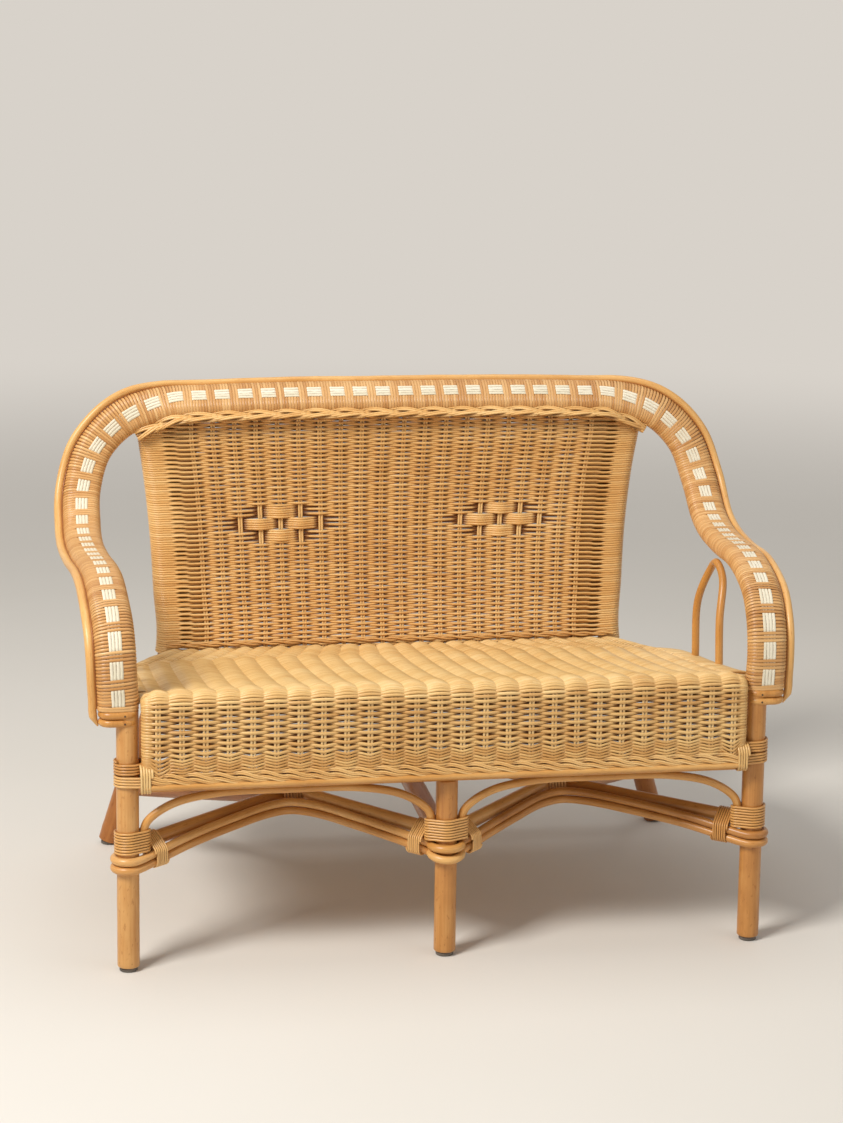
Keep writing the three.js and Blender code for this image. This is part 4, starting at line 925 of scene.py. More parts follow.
def side_wraps():
    """Groups of slanting strands laid over both side edges of the seat."""
    bundle = Bundle()
    rear, front = (seat_at(share * DEPTH, seat_v) for share in SIDE_WRAP_RANGE)
    share = np.linspace(0, 1, 24)
    along = (SIDE_WRAP_INNER + SIDE_WRAP_ROUND) * share
    lift = sum(height * smooth(start, end, share) for height, start, end in SIDE_WRAP_LIFTS)
    for side, _ in SIDES:
        for start in np.arange(rear, front, SIDE_WRAP_PITCH):
            for j in range(SIDE_WRAP_STRANDS):
                v = start + SIDE_WRAP_SPACING * j + SIDE_WRAP_SLANT * share + wander(len(share), 0.3, 30)
                edge, radius, turn_limit = seat_edge(v)
                x = edge - SIDE_WRAP_INNER + np.minimum(along, SIDE_WRAP_INNER)
                turn = np.minimum(np.maximum(along - SIDE_WRAP_INNER, 0) / radius, turn_limit)
                spot, normal = seat_place(v, side * x, turn, lift)
                bundle.strand(spot, round_section(SIDE_WRAP_RADIUS, 6), normal)
    return bundle


rows = seat_rows()
SEAT_PARTS = (("rear", 6), ("middle", 6), ("front", 6), ("roll", 8), ("apron", 8))
for i, (word, steps) in enumerate(SEAT_PARTS):
    start, end = (share / len(SEAT_PARTS) * SEAT_RUN for share in (i, i + 1))
    group = rows[(rows[:, 0] >= start) & (rows[:, 0] < end + 1)]
    paths, normals, lifts = seat_weavers(group, steps)
    # The weavers on the roll and the apron get lower tints than the seat's top: painted shade on the upright
    # face.
    tints = random.uniform(*WEAVER_TINTS, (len(group), 1)) - APRON_PAINTED_SHADE * opened(group[:, :1])
    thickness = mix(1.0, FOOT_SIZE, smooth(OPEN_END - 4, OPEN_END + 4, group[:, :1]))
    section = round_section(WEAVER, 6) * (WEAVER_WIDTH, 1)
    bundle = Bundle().strand(paths, section, normals, thickness, tints, lifts)
    piece(f"seat_{word}_weavers", bundle, SEAT, "seat_weave", "seat_weave")

stakes = Bundle()
v = np.arange(2, SEAT_RUN + 1, STAKE_STEP)
for k in range(STAKE_COUNT):
    for beside in (-STAKE_APART, STAKE_APART):
        spot, normal = seat_place(v, stake_x(v, k) + beside, np.zeros_like(v), mix(0.2, 1.2, opened(v)))
        stakes.strand(spot, round_section(STAKE, 6), normal, tints=STAKE_TINT, lifts=0.4)
for side, _ in SIDES:
    low = (side * APRON_EDGE_X, APRON_Y + 13.8)
    core = straight((*low, APRON_BOTTOM_Z + 4), (*low, SEAT_ROLL_Z))
    stakes.strand(core, round_section(APRON_CURL_RADIUS - WEAVER, 16))
piece("seat_stakes", stakes, SEAT, "seat_weave", "seat_weave")
piece("seat_side_wraps", side_wraps(), SEAT, "seat_weave", "seat_weave")


# Back: rows of weavers over doubled stakes, wound round both posts
BACK_BOTTOM_Z = SEAT_BACK_Z - 4.2
BACK_TOP_Z = BACK_HEIGHT - 30
BACK_BULGE = 20
BACK_BULGE_Z = mix(BACK_BOTTOM_Z, BACK_TOP_Z, 0.4872)
BACK_ROW_PITCH = 3.75
BACK_STAKES = 20
BACK_STAKE_SHARE = 0.0885
BACK_STAKE_APART = 2.0
BACK_CORNER = (0.6522, 0.8913)
BACK_CORNER_DROP = 26
BACK_WEAVER = 2.15
BACK_WAVE = 2.8
ROLL_CENTRE = 16.6
ROLL_TURN = 190
PANEL_DEPTH = 18
REAR_LAYER = 4.5
LOZENGE_Z = 535
LOZENGE_COLUMN = 4
BLOCK_ROWS = 5
OVER_BUNDLE = 1.45
UNDER_BUNDLE = -1.3
PAIR_SHIFTS = (0.5, 1.15)
PAIR_WAVE = 1.6
PAIR_PARTS = (0.32, 0.46)
PAIR_MEETS = (0.6, 0.76)
ROLL_UNEVENNESS = 0.5
TOP_PULL = 0.92
TAIL_SHADE_LIFT = 0.3
EDGE_STRAND = 2.5
ROLL_TOP_STRAND = 2.3


def back_top(x):
    """Height of the panel's upper edge, which falls away at the corners."""
    start, end = BACK_CORNER
    share = np.clip((np.abs(x) / LEG_X - start) / (end - start), 0, None)
    return BACK_TOP_Z - BACK_CORNER_DROP * share**2


def panel_y(x, z):
    """Middle of the panel's thickness."""
    post_x, post_y = rear_leg_at(z)
    high = np.where(z < BACK_BULGE_Z, BACK_BULGE_Z - BACK_BOTTOM_Z, BACK_TOP_Z - BACK_BULGE_Z)
    bulge = BACK_BULGE * (1 - ((z - BACK_BULGE_Z) / high) ** 2) * np.clip(1 - (x / post_x) ** 2, 0, None)
    return post_y - PANEL_DEPTH + bulge


def back_stake_x(column, z):
    return (column - (BACK_STAKES - 1) / 2) * BACK_STAKE_SHARE * rear_leg_at(z)[0]


def back_signs(count):
    """Which side of each doubled stake each weaver passes, with two lozenges of flat bundles."""
    signs = (-1.0) ** (np.arange(count)[:, None] + np.arange(BACK_STAKES))
    first = int((LOZENGE_Z - BACK_BOTTOM_Z) / BACK_ROW_PITCH) - (3 * BLOCK_ROWS) // 2
    for block, reach in enumerate((1, 2, 1)):
        chosen = slice(first + block * BLOCK_ROWS, first + (block + 1) * BLOCK_ROWS)
        for centre in (LOZENGE_COLUMN, BACK_STAKES - 1 - LOZENGE_COLUMN):
            for away in range(-reach, reach + 1):
                signs[chosen, centre + away] = OVER_BUNDLE if (away + reach) % 2 else UNDER_BUNDLE
    return signs


def back_weavers(steps=7):
    """Paths, normals and lifts of weavers that turn round both posts and come back behind the open gap."""
    z = np.arange(BACK_BOTTOM_Z + 2, BACK_TOP_Z - 1, BACK_ROW_PITCH)[:, None]
    count = len(z)
    share = np.linspace(0, BACK_STAKES - 1, (BACK_STAKES - 1) * steps + 1)
    share = np.broadcast_to(share, (count, share.size))
    wave = column_wave(back_signs(count), share)
    wave = np.sign(wave) * np.abs(wave) ** 1.6 * BACK_WAVE
    flat = back_stake_x(share, z)
    drift = np.stack([wander(share.shape[1], 0.22, 50) for _ in range(count)])
    pair = np.repeat(random.uniform(*PAIR_SHIFTS, count // 2 + 1), 2)[:count]
    pair = (-1.0) ** np.arange(count) * pair
    gap = np.linspace(0, 1, 17)[None, 1:-1]
    turn = np.radians(np.linspace(0, ROLL_TURN, 13))[None]
    tail = np.linspace(0, 1, 6)[None, 1:]
    gap_z = z + PAIR_WAVE * pair[:, None] * smooth(*PAIR_PARTS, gap) * (1 - smooth(*PAIR_MEETS, gap))
    whole_turn = np.hstack([0 * gap, turn, np.pi + 0 * tail])
    centre_x = rear_leg_at(z)[0] + POST_SHIFT
    row_z = z + drift
    paths = spots(flat, panel_y(flat, row_z) - wave, row_z)
    normals = np.broadcast_to(FORWARD, paths.shape)
    for side, end in ((-1, 0), (1, -1)):
        last_x = flat[:, end, None]
        gap_x = mix(last_x, side * centre_x, gap)
        gap_y = panel_y(gap_x, gap_z) - wave[:, end, None] * (1 + np.cos(np.pi * gap)) / 2
        roll_x = side * (centre_x + ROLL_CENTRE * np.sin(turn))
        roll_z = z + ROLL_UNEVENNESS * np.sin(turn * 1.3 + side)
        roll_y = rear_leg_at(roll_z)[1] - ROLL_CENTRE * np.cos(turn)
        gap_y = mix(gap_y, roll_y[:, :1], gap**2)
        tail_x = mix(roll_x[:, -1:], last_x - side * 6, tail)
        tail_y = mix(roll_y[:, -1:], panel_y(last_x, z) + REAR_LAYER, tail)
        tail_z = mix(roll_z[:, -1:], z + BACK_ROW_PITCH / 2, np.clip(3 * tail, 0, 1))
        route = ((gap_x, gap_y, gap_z), (roll_x, roll_y, roll_z), (tail_x, tail_y, tail_z))
        spot = np.hstack([spots(*part) for part in route])
        normal = np.broadcast_to(spots(side * np.sin(whole_turn), -np.cos(whole_turn), 0), spot.shape)
        paths = lengthened(paths, spot, side)
        normals = lengthened(normals, normal, side)
    over = np.clip(paths[..., 2] - back_top(paths[..., 0]), 0, None)
    paths[..., 2] -= over * TOP_PULL
    lifts = np.pad(wave / BACK_WAVE, ((0, 0), (whole_turn.size, whole_turn.size)))
    # The tails behind the gap get a fixed lift, which only sets how much painted shade they get.
    lifts[:, : tail.size] = TAIL_SHADE_LIFT
    lifts[:, -tail.size :] = TAIL_SHADE_LIFT
    return paths, normals, np.clip(lifts, -1, 1)


def close_back(bundle):
    """Strands that finish the panel's top and foot, and close the top of both rolls."""
    for height, move in ((BACK_TOP_Z, 2.2), (BACK_BOTTOM_Z, -1.2)):
        last = back_stake_x(BACK_STAKES - 1, height)
        x = np.arange(-last, last + 1, 4.0)
        z = np.minimum(height, back_top(x)) + move
        for behind in (-2.0, 2.2):
            bundle.strand(spots(x, panel_y(x, z) + behind, z), round_section(EDGE_STRAND, 7))
    top = back_top(LEG_X - 20)
    post_x, post_y = rear_leg_at(top)
    last = back_stake_x(BACK_STAKES - 1, top)
    share = np.linspace(0, 1, 12)
    x = mix(last, post_x + POST_SHIFT, share)
    front = mix(panel_y(last, top) - 2, post_y - ROLL_CENTRE, share**2)
    rear = mix(panel_y(last, top) + REAR_LAYER, post_y + ROLL_CENTRE, share)
    for side, _ in SIDES:
        for part in np.linspace(0.02, 0.98, 9):
            spot = spots(side * x, mix(front, rear, part), back_top(x) + 0.6)
            bundle.strand(spot, round_section(ROLL_TOP_STRAND, 7))


paths, normals, lifts = back_weavers()
half = len(paths) // 2
for word, chosen in (("lower", slice(0, half)), ("upper", slice(half, None))):
    tints = random.uniform(*WEAVER_TINTS, (len(paths[chosen]), 1))
    section = round_section(BACK_WEAVER, 6)
    bundle = Bundle().strand(paths[chosen], section, normals[chosen], tints=tints, lifts=lifts[chosen])
    piece(f"back_{word}_weavers", bundle, BACK, "back_weave", "back_weave")
stakes = Bundle()
z = np.arange(BACK_BOTTOM_Z, BACK_TOP_Z + 2, STAKE_STEP)
for k in range(BACK_STAKES):
    for beside in (-BACK_STAKE_APART, BACK_STAKE_APART):
        x = back_stake_x(k, z) + beside
        spot = spots(x, panel_y(x, z), np.minimum(z, back_top(x)))
        stakes.strand(spot, round_section(STAKE, 6), FORWARD, tints=STAKE_TINT)
close_back(stakes)
piece("back_stakes", stakes, BACK, "back_weave", "back_weave")


# Plaited borders
PLAIT_PAIRS = 4
PLAIT_STRAND = 2.1
PLAIT_HALF_WIDTH = 6.2
PLAIT_HALF_DEPTH = 3.0
PLAIT_LAY = 190
PLAIT_APART = 0.9 * PLAIT_STRAND
PLAIT_REACH = -(RIM_HALF_WIDTH + 5.2)
PLAIT_OUT = 2.5
PLAIT_STEP = 2.5
BORDER_HALF_LENGTH = 440
FOOT_HALF_LENGTH = 370
FOOT_Z = BACK_BOTTOM_Z + 14
FOOT_STRAND = 1.9


def back_border():
    """Doubled strands plaited flat under the rim, and two strands twisted along the back's foot."""
    bundle = Bundle()
    inset = RIM_LENGTH / 2 - BORDER_HALF_LENGTH
    s = np.arange(inset, RIM_LENGTH - inset, PLAIT_STEP)
    centre, width, face = on_rim(s, PLAIT_REACH, PLAIT_OUT)
    for j in range(PLAIT_PAIRS):
        turn = 2 * np.pi * (path_length(centre) / PLAIT_LAY + j / PLAIT_PAIRS)
        for apart in (-PLAIT_APART, PLAIT_APART):
            sideways = PLAIT_HALF_WIDTH * np.sin(turn) + apart * np.abs(np.cos(turn)) ** 0.5
            outwards = PLAIT_HALF_DEPTH * np.sin(2 * turn) + 0.5 * apart * (1 - np.abs(np.cos(turn)))
            path = centre + width * sideways[:, None] + face * outwards[:, None]
            bundle.strand(path, round_section(PLAIT_STRAND, 7), face, lifts=np.sin(2 * turn) * 0.6)
    x = np.arange(-FOOT_HALF_LENGTH, FOOT_HALF_LENGTH + 1, PLAIT_STEP)
    for turn in (0, np.pi):
        step = np.pi * x / (BACK_STAKE_SHARE * rear_leg_at(FOOT_Z)[0]) + turn
        spot = spots(x, panel_y(x, FOOT_Z) - 4.5 - 2 * np.sin(step), FOOT_Z + 2 * np.cos(step))
        bundle.strand(spot, round_section(FOOT_STRAND, 7), FORWARD)
    return bundle


piece("back_border", back_border(), BACK, "back_weave", "back_top_braid")

RAIL_HALF = LEG_X - LEG_RADIUS - 5.9
FRONT_BORDER_Y = APRON_Y + 3
FRONT_PAIRS = ((APRON_BOTTOM_Z + 5.2, 4.1), (APRON_BOTTOM_Z - 1.2, 3.2))
FRONT_STRAND = 1.5
FRONT_APART = 1.3
SHADE_BACKING_RADIUS = 4.2
EDGE_CANE_RADIUS = 4.4


def front_border():
    """Two pairs of strands that cross between the stakes, a dark strand of painted shade behind them, and the
    smooth cane below them.
    """
    bundle = Bundle()
    x = np.arange(-RAIL_HALF, RAIL_HALF + 1, PLAIT_STEP)
    for level, size in FRONT_PAIRS:
        for turn in (0, np.pi):
            step = np.pi * x / STAKE_PITCH + turn
            for beside in (-FRONT_APART, FRONT_APART):
                y = FRONT_BORDER_Y - 2.0 - 1.5 * np.sin(step)
                spot = spots(x, y, level + size * np.cos(step) + beside)
                bundle.strand(spot, round_section(FRONT_STRAND, 7), FORWARD, lifts=np.sin(step) * 0.7)
    # A dark strand of painted shade behind the border: lowest tint and full painted shade, so that its
    # openings look dark.
    inner = spots(x, FRONT_BORDER_Y + 4, APRON_BOTTOM_Z + 3.5)
    bundle.strand(inner, round_section(SHADE_BACKING_RADIUS, 8), FORWARD, tints=0.0, lifts=-1.0)
    cane = spots(x, FRONT_BORDER_Y - 1, APRON_BOTTOM_Z - 8.2)
    return bundle, Bundle().strand(cane, round_section(EDGE_CANE_RADIUS, 14), FORWARD)


border, border_cane = front_border()
# The border takes the back's weave and the edge cane the natural cane, both darker than the seat's weave:
# painted shade under the seat's front.
piece("seat_front_border", border, BACK, "seat_weave", "seat_front_braid")
piece("seat_front_edge_cane", border_cane, CANE, "seat_weave", "seat_front_braid")


# Rails of the seat
FRONT_RAIL_Y = FRONT_BORDER_Y + 15.5
TOP_RAIL_RADIUS = 13
REAR_RAIL_Y = 0.9225 * DEPTH
REAR_RAIL_Z = SEAT_BACK_Z - 16
RAIL_RADIUS = 10


def level_pole(name, half, y, z, *rest):
    """A pole from left to right."""
    pole(name, straight((-half, y, z), (half, y, z)), *rest)


level_pole("front_bottom_rail", RAIL_HALF, FRONT_RAIL_Y, FRONT_RAIL_Z,
           FRONT_RAIL_RADIUS, CANE, "rattan_pole", "seat_front_bottom_rail")
level_pole("front_top_rail", SEAT_FRONT_HALF - 12, SEAT_ROLL_Y, SEAT_ROLL_Z,
           TOP_RAIL_RADIUS, POLE, "rattan_pole", "seat_front_top_rail")
level_pole("rear_rail", rear_leg_at(REAR_RAIL_Z)[0] - 8, REAR_RAIL_Y, REAR_RAIL_Z,
           RAIL_RADIUS, POLE, "rattan_pole", "seat_rear_rail")
for side, word in SIDES:
    y = np.arange(28, 0.9 * DEPTH, 8.0)[::-1]
    route, _ = seat_place(seat_at(y, seat_v), rail_x(y), 0 * y, 0 * y - SIDE_CURL_RADIUS)
    pole(f"side_rail_{word}", mirror(route, side), RAIL_RADIUS, POLE, "rattan_pole", f"seat_side_rail_{word}")


# Hairpin supports
HAIRPIN_Y = 0.4595 * DEPTH
HAIRPIN_HALF = 66
HAIRPIN_RADIUS = 6
HAIRPIN_LOW_X = 0.9978 * LEG_X
HAIRPIN_HIGH_X = 1.0217 * LEG_X
HAIRPIN_SHOULDER = 0.93 * HAIRPIN_HALF
HAIRPIN_BEND = 0.52 * HAIRPIN_HALF
HAIRPIN_BEND_DROP = 0.28 * HAIRPIN_HALF


def seat_side_z(y):
    return seat_at(y, seat_z) - SEAT_SIDE_DROP + 1


def hairpin(side):
    """Up from the seat's side, over under the arm, and down again."""
    arm = half_centre[half_centre[:, 2] > RIM_BOTTOM_Z][: np.argmax(half_centre[:, 1])]
    top = np.interp(HAIRPIN_Y, arm[:, 1], arm[:, 2]) - RIM_HALF_DEPTH - 0.7 - HAIRPIN_RADIUS
    shoulder_z = mix(seat_side_z(HAIRPIN_Y), top, 0.52)
    route = []
    for half in (-1, 1):
        foot = half * HAIRPIN_HALF
        leg = [
            (HAIRPIN_LOW_X, foot, seat_side_z(HAIRPIN_Y + foot)),
            (HAIRPIN_LOW_X, half * HAIRPIN_SHOULDER, shoulder_z),
            (HAIRPIN_HIGH_X, half * HAIRPIN_BEND, top - HAIRPIN_BEND_DROP),
        ]
        route += leg + [(HAIRPIN_HIGH_X, 0, top)] if half < 0 else leg[::-1]
    return spline([(side * x, HAIRPIN_Y + y, z) for x, y, z in route])


for side, word in SIDES:
    pole(f"hairpin_{word}", hairpin(side), HAIRPIN_RADIUS, CANE, "natural_cane", f"hairpin_support_{word}",
         sides=20, first=40 + 30 * side)


# Under-frame
DIAGONAL_RADIUS = 10.5
DIAGONAL_Z = 0.469 * SEAT_HEIGHT
CROSSING = np.array([0.4435 * LEG_X, 0.3604 * DEPTH])
CENTER_RADIUS = 16
CENTER_Z = DIAGONAL_Z - DIAGONAL_RADIUS - 0.5 - CENTER_RADIUS
CROSS_POLE_RADIUS = 11
JOINT_REACH = 31
POLE_DIP = 9
POLE_START = 0.8 * JOINT_REACH
REAR_BRACE_Z = 0.4974 * DIAGONAL_Z
outer_run = unit(CROSSING - (LEG_X, 0))
inner_run = unit(CROSSING)
rear_x, rear_y = rear_leg_at(CENTER_Z)
brace_x, brace_y = rear_leg_at(REAR_BRACE_Z)
level_pole("rear_cross_pole", rear_x - 12, rear_y, CENTER_Z, CROSS_POLE_RADIUS, DARK_POLE, "dark_pole",
           "rear_stretcher")
pole("center_pole", straight((0, 29, CENTER_Z), (0, rear_y - 11.6, CENTER_Z)), CENTER_RADIUS, DARK_POLE,
     "dark_pole", "center_stretcher", sides=32)
for side, word in SIDES:
    leg_end = (LEG_X, 0) + outer_run * POLE_START
    middle_end = inner_run * POLE_START
    for name, node, start, end, end_z in (
        ("diagonal", "diagonal_stretcher", leg_end, (6.0, 0.6631 * DEPTH - 4), DIAGONAL_Z + 2),
        ("short_pole", "short_stretcher", middle_end, CROSSING - inner_run * 13, DIAGONAL_Z),
    ):
        route = straight((side * start[0], start[1], DIAGONAL_Z - POLE_DIP), (side * end[0], end[1], end_z))
        pole(f"{name}_{word}", route, DIAGONAL_RADIUS, BENT, "dark_pole", f"{node}_{word}", sides=24)
    route = [
        (0.513 * LEG_X, 0.3423 * DEPTH, 0.9845 * DIAGONAL_Z),
        (0.6174 * LEG_X, 0.4865 * DEPTH, 0.8653 * DIAGONAL_Z),
        (brace_x - 8, brace_y - 12, REAR_BRACE_Z),
    ]
    pole(f"rear_brace_{word}", mirror(spline(route, 8), side), DIAGONAL_RADIUS, DARK_POLE, "dark_pole",
         f"rear_diagonal_{word}", sides=24)

BENT_RADIUS = 6
HOOK_UPPER_Z = DIAGONAL_Z - 26.2
HOOK_LOWER_Z = HOOK_UPPER_Z - 2 * BENT_RADIUS - 0.8
HOOK_LEVELS = (("upper", HOOK_UPPER_Z), ("lower", HOOK_LOWER_Z))
HOOK_REACH = LEG_RADIUS + BENT_RADIUS - 2.5
HOOK_START = math.radians(115)
RING_REACH = LEG_RADIUS + 0.6 + BENT_RADIUS
ARCH_RISE = 20.5
LIP_DIP = 3.5


def bent_cane(level, side):
    """Hooked round the outer leg, then arched in front of the crossing to the middle leg."""
    hooked = np.linspace(HOOK_START, math.atan2(outer_run[0], -outer_run[1]), 10)
    route = [(LEG_X + HOOK_REACH * np.cos(a), HOOK_REACH * np.sin(a), level) for a in hooked]

    def add(x, y):
        route.append((x, y, level + ARCH_RISE * (1 - ((x - LEG_X / 2) / (LEG_X / 2)) ** 2)))

    def add_beside(from_x, run, length, places):
        for share, offset in places:
            distance = share * length
            add(from_x + run[0] * distance - abs(run[1]) * offset * np.sign(-run[0]),
                run[1] * distance - abs(run[0]) * offset)

    outer_length = math.hypot(LEG_X - CROSSING[0], CROSSING[1])
    add_beside(LEG_X, outer_run, outer_length, ((0.3078, 18.9), (0.5849, 17.4), (0.8065, 17.4)))
    add(0.4543 * LEG_X, CROSSING[1] - 39)
    inner_places = ((0.7911, 17.4), (0.5251, 17.4), (0.245, 18.9), (0.1271, 20.4))
    add_beside(0, inner_run, math.hypot(*CROSSING), inner_places)
    route.append((RING_REACH, 8, level))
    return mirror(spline(route), side)


for side, word in SIDES:
    for level, z in HOOK_LEVELS:
        pole(f"arched_cane_{level}_{word}", bent_cane(z, side), BENT_RADIUS, BENT, "dark_pole",
             f"bent_cane_{level}_{word}", sides=20)

for level, z in HOOK_LEVELS:
    turn = np.linspace(0, 2 * np.pi, 73) + np.pi / 2
    dip = LIP_DIP * (level == "lower") * np.clip(-np.sin(turn), 0, 1) ** 1.5
    ring = spots(RING_REACH * np.cos(turn), RING_REACH * np.sin(turn), z - dip)
    bundle = Bundle().strand(ring, round_section(BENT_RADIUS, 18))
    piece(f"leg_ring_{level}", bundle, CANE, "natural_cane", f"middle_leg_ring_{level}")

# Arched front braces
BRACE_RADIUS = 6
BRACE_X = LEG_RADIUS + 0.7 + BRACE_RADIUS
BRACE_TOP_Z = FRONT_RAIL_Z - FRONT_RAIL_RADIUS - 0.6 - BRACE_RADIUS
JOINT_Z = HOOK_UPPER_Z + BENT_RADIUS + 2.7
JOINT_HEIGHT = 32.9
JOINT_TOP_Z = JOINT_Z + JOINT_HEIGHT

bend = [(BRACE_X, HOOK_UPPER_Z + 7.7), (BRACE_X, JOINT_TOP_Z)]
for across, rise in ((0.0152, 0.281), (0.0913, 0.7115), (0.2283, 0.9615)):
    bend.append((BRACE_X + across * LEG_X, mix(JOINT_TOP_Z, BRACE_TOP_Z, rise)))
brace_route = [(LEG_X - inward, 0, z) for inward, z in bend]
brace_route.append((LEG_X / 2, 0, BRACE_TOP_Z))
brace_route += [(inward, 0, z) for inward, z in bend[::-1]]
for side, word in SIDES:
    pole(f"brace_{word}", mirror(spline(brace_route), side), BRACE_RADIUS, CANE, "natural_cane",
         f"front_brace_{word}", sides=20)


# Windings
UPRIGHT = np.eye(3)
SIDEWAYS = UPRIGHT[[1, 2, 0]]
LOOP_SAMPLES = 96
LOOP_PITCH = 4.15
JOINT_STRAND = 1.92


def wound(bundle, circles, origin, axes, strand, pitch, turns):
    """One strand wound round the outline of circles."""
    first, second, axis = axes
    total = int(turns * LOOP_SAMPLES)
    angle = np.linspace(0, turns * 2 * np.pi, total)
    direction = spots(np.cos(angle), np.sin(angle))
    table = np.array(circles, float)
    best = table[np.argmax(direction @ table[:, :2].T + table[:, 2], axis=1)]
    plan = best[:, :2] + (best[:, 2:] + strand + 0.2) * direction
    along = pitch * (angle / (2 * np.pi) - turns / 2) + wander(total, 0.075, 60)
    path = np.asarray(origin) + plan[:, :1] * first + plan[:, 1:] * second + along[:, None] * axis
    normal = direction[:, :1] * first + direction[:, 1:] * second
    both = evenly(np.hstack([path, normal]), 2.2)
    return bundle.strand(both[:, :3], round_section(strand, 8), both[:, 3:])


def binding(name, bundle, material=WINDING):
    """A binding, which stands for the winding at the same place."""
    piece(name, bundle, material, "cane_winding", name.replace("binding", "winding"))


for word, x, near in (("left", -LEG_X, (1,)), ("middle", 0, (1, -1)), ("right", LEG_X, (-1,))):
    circles = [(0, 0, LEG_RADIUS)] + [(s * BRACE_X, 0, BRACE_RADIUS) for s in near]
    middle = (x, 0, JOINT_Z + JOINT_HEIGHT / 2)
    binding(f"joint_binding_{word}", wound(Bundle(), circles, middle, UPRIGHT, JOINT_STRAND, LOOP_PITCH, 8))

CORNER_Z = APRON_BOTTOM_Z + 3
CORNER_STRAND = 2.0
RAIL_CORNER = (
    (FRONT_BORDER_Y + 9, APRON_BOTTOM_Z - 5, 11), (FRONT_BORDER_Y + 9.5, APRON_BOTTOM_Z + 7, 11.5),
)
crossing_half = 6 * 4.2 / 2 + 1.8
crossing_deep = crossing_half * inner_run[1] / inner_run[0]
crossing_wide = DIAGONAL_RADIUS / abs(outer_run[0])
rail_wrap = Bundle()
for side, word in SIDES:
    bound = Bundle()
    for z, turns, x, y, radius in ((CORNER_Z + 12.5, 4.6, 7, -3, 13), (CORNER_Z - 6.5, 4.2, 17, -12, 7)):
        circles = [(0, 0, LEG_RADIUS), (-side * x, y, radius)]
        wound(bound, circles, (side * LEG_X, 0, z), UPRIGHT, CORNER_STRAND, LOOP_PITCH, turns)
    binding(f"corner_binding_{word}", bound)
    wound(rail_wrap, RAIL_CORNER, (side * (RAIL_HALF - 3), 0, 0), SIDEWAYS, CORNER_STRAND, 3.8, 4.5)
    circles = [(deep, DIAGONAL_Z, crossing_wide) for deep in (-crossing_deep, crossing_deep)]
    made = wound(Bundle(), circles, (side * CROSSING[0], CROSSING[1], 0), SIDEWAYS, 1.7, 4.6, 6)
    binding(f"crossing_binding_{word}", made, BAND)
piece("rail_end_wraps", rail_wrap, SEAT, "seat_weave")

BOUND_CANE_REACH = 19.4
BOUND_CANE_RADIUS = 7
bound_lift = ARCH_RISE * 0.3
for side, word in SIDES:
    for place, from_x, run, start in (("outer", LEG_X, outer_run, 40), ("inner", 0, inner_run, 38)):
        axis = unit(np.array([side * run[0], run[1], 0.0]))
        front = np.array([-axis[1] * side, axis[0] * side, 0.0])
        front = -front if front[1] > 0 else front
        circles = [(0, DIAGONAL_Z - POLE_DIP, DIAGONAL_RADIUS)]
        circles += [(BOUND_CANE_REACH, z + bound_lift, BOUND_CANE_RADIUS) for _, z in HOOK_LEVELS]
        origin = (side * (from_x + run[0] * start), run[1] * start, 0)
        made = wound(Bundle(), circles, origin, (front, UPRIGHT[2], axis), 1.65, 3.5, 7)
        binding(f"side_binding_{place}_{word}", made)


# Floor, light and camera
PALE = linear(216, 210, 202)
FLOOR_COLOURS = (linear(224, 220, 213), linear(228, 224, 218))
FLOOR_REACH = 9.0
FLOOR_SIDES = 64
SWEEP_RADIUS = 1.5
SWEEP_TOP = 2.5
FADE_START = 1.8
FADE_END = 6.0
SKY = (1.0, 0.985, 0.96, 1)
SKY_STRENGTH = 0.3


def seen_directly(n):
    """1 for rays that come straight from the camera, or by way of a mirror or glass."""
    path = n.add("ShaderNodeLightPath").outputs
    mirrored = n.math("MAXIMUM", path["Is Glossy Ray"], path["Is Transmission Ray"])
    return n.math("MAXIMUM", path["Is Camera Ray"], mirrored)


def floor_material():
    """Pale and matt round the sofa, and evenly pale far from it."""
    material = bpy.data.materials.new("floor")
    n = Nodes(material)
    place = n.add("ShaderNodeTexCoord").outputs["Object"]
    colour = n.mixed(n.noise(place, 2.0, 2), *FLOOR_COLOURS)
    n.feed(n.main, {"Base Color": colour, "Roughness": 0.8, "Specular IOR Level": 0.2})
    away = n.add("ShaderNodeVectorMath", {0: place}, operation="LENGTH").outputs["Value"]
    span = {"Value": away, "From Min": FADE_START, "From Max": FADE_END}
    far = n.add("ShaderNodeMapRange", span, interpolation_type="SMOOTHSTEP").outputs["Result"]
    glow = n.add("ShaderNodeEmission", {"Color": PALE})
    both = {0: n.times(far, seen_directly(n)), 1: n.main.outputs[0], 2: glow.outputs[0]}
    mixed = n.add("ShaderNodeMixShader", both)
    n.feed(n.tree.nodes["Material Output"], {"Surface": mixed.outputs[0]})
    return material


def sweep_floor():
    """A round pale floor that curves up into the backdrop on every side."""
    profile = [(reach, 0) for reach in (0.01, 1, 3, 6, FLOOR_REACH)]
    for angle in np.linspace(0, np.pi / 2, 9)[1:]:
        profile.append((FLOOR_REACH + SWEEP_RADIUS * math.sin(angle), SWEEP_RADIUS * (1 - math.cos(angle))))
    profile.append((FLOOR_REACH + SWEEP_RADIUS, SWEEP_TOP))
    turn = np.arange(FLOOR_SIDES) * 2 * np.pi / FLOOR_SIDES
    points = [(reach * math.cos(a), reach * math.sin(a), z) for reach, z in profile for a in turn]
    ids = np.arange(len(points)).reshape(1, len(profile), FLOOR_SIDES)
    faces = patches(ids, np.roll(ids, -1, axis=2)).reshape(-1, 4).tolist() + [list(range(FLOOR_SIDES))]
    mesh = bpy.data.meshes.new("floor")
    mesh.from_pydata(points, [], faces)
    fill(mesh.polygons, "use_smooth", np.ones(len(faces)), bool)
    floor = shown("floor", mesh)
    mesh.materials.append(floor_material())


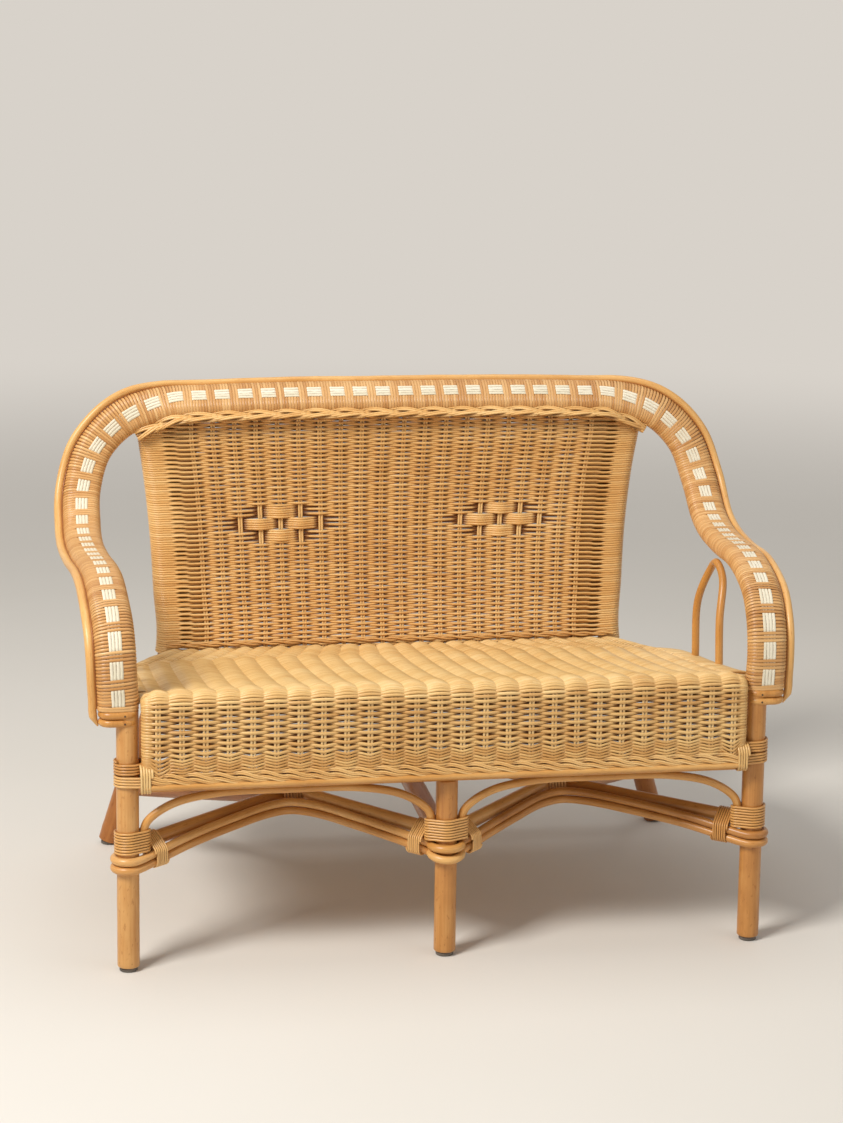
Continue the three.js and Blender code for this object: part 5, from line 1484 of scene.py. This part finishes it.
def lamp(name, place, target, size, power, colour):
    light = bpy.data.lights.new(name, "AREA")
    light.shape = "RECTANGLE"
    light.size, light.size_y = size
    light.energy = power
    light.color = colour
    made = shown(name, light)
    made.location = place
    aim = Vector(target) - Vector(place)
    made.rotation_mode = "QUATERNION"
    made.rotation_quaternion = aim.to_track_quat("-Z", "Y")


def studio_world():
    """An even soft sky, which looks pale where it is seen directly."""
    world = bpy.data.worlds.new("studio")
    bpy.context.scene.world = world
    n = Nodes(world, "Background")
    seen = seen_directly(n)
    n.feed(n.main, {"Color": n.mixed(seen, SKY, PALE), "Strength": n.ranged(seen, SKY_STRENGTH, 1.0)})


sweep_floor()
lamp("window", (-2.3, -1.9, 3.3), (0, 0, 0.4), (1.2, 1.2), 152, (1.0, 0.97, 0.92))
lamp("fill", (2.8, -2.4, 1.9), (0, 0, 0.4), (2.4, 2.4), 16, (1.0, 0.98, 0.95))
lamp("top", (0, 0.4, 3.4), (0, 0.1, 0.3), (2.6, 2.0), 24, (1.0, 0.98, 0.95))
studio_world()


# Camera: place, turn and lens that show the sofa as the photograph does
FRAME_SIZE = (843, 1123)
FOCAL = 2530.2
CAMERA_PLACE = (-0.6411, -3.4689, 1.3883)
CAMERA_YAW = 0.1702
CAMERA_PITCH = 0.1634
CAMERA_ROLL = -0.0136
CAMERA_SHIFT = -0.18
SENSOR = 36

lens = bpy.data.cameras.new("camera")
lens.sensor_width = SENSOR
lens.lens = FOCAL / max(FRAME_SIZE) * SENSOR
lens.shift_y = CAMERA_SHIFT * FRAME_SIZE[0] / FRAME_SIZE[1]
camera = shown("camera", lens)
forward = np.array([math.sin(CAMERA_YAW) * math.cos(CAMERA_PITCH),
                    math.cos(CAMERA_YAW) * math.cos(CAMERA_PITCH), -math.sin(CAMERA_PITCH)])
right = np.array([math.cos(CAMERA_YAW), -math.sin(CAMERA_YAW), 0.0])
up = np.cross(right, forward)
turned_right = right * math.cos(CAMERA_ROLL) - up * math.sin(CAMERA_ROLL)
turned_up = right * math.sin(CAMERA_ROLL) + up * math.cos(CAMERA_ROLL)
camera_rows = np.column_stack([turned_right, turned_up, -forward, np.array(CAMERA_PLACE) + ORIGIN / MM])
camera.matrix_world = Matrix([*camera_rows.tolist(), [0, 0, 0, 1]])
bpy.context.scene.camera = camera
bpy.context.scene.view_settings.view_transform = "Standard"
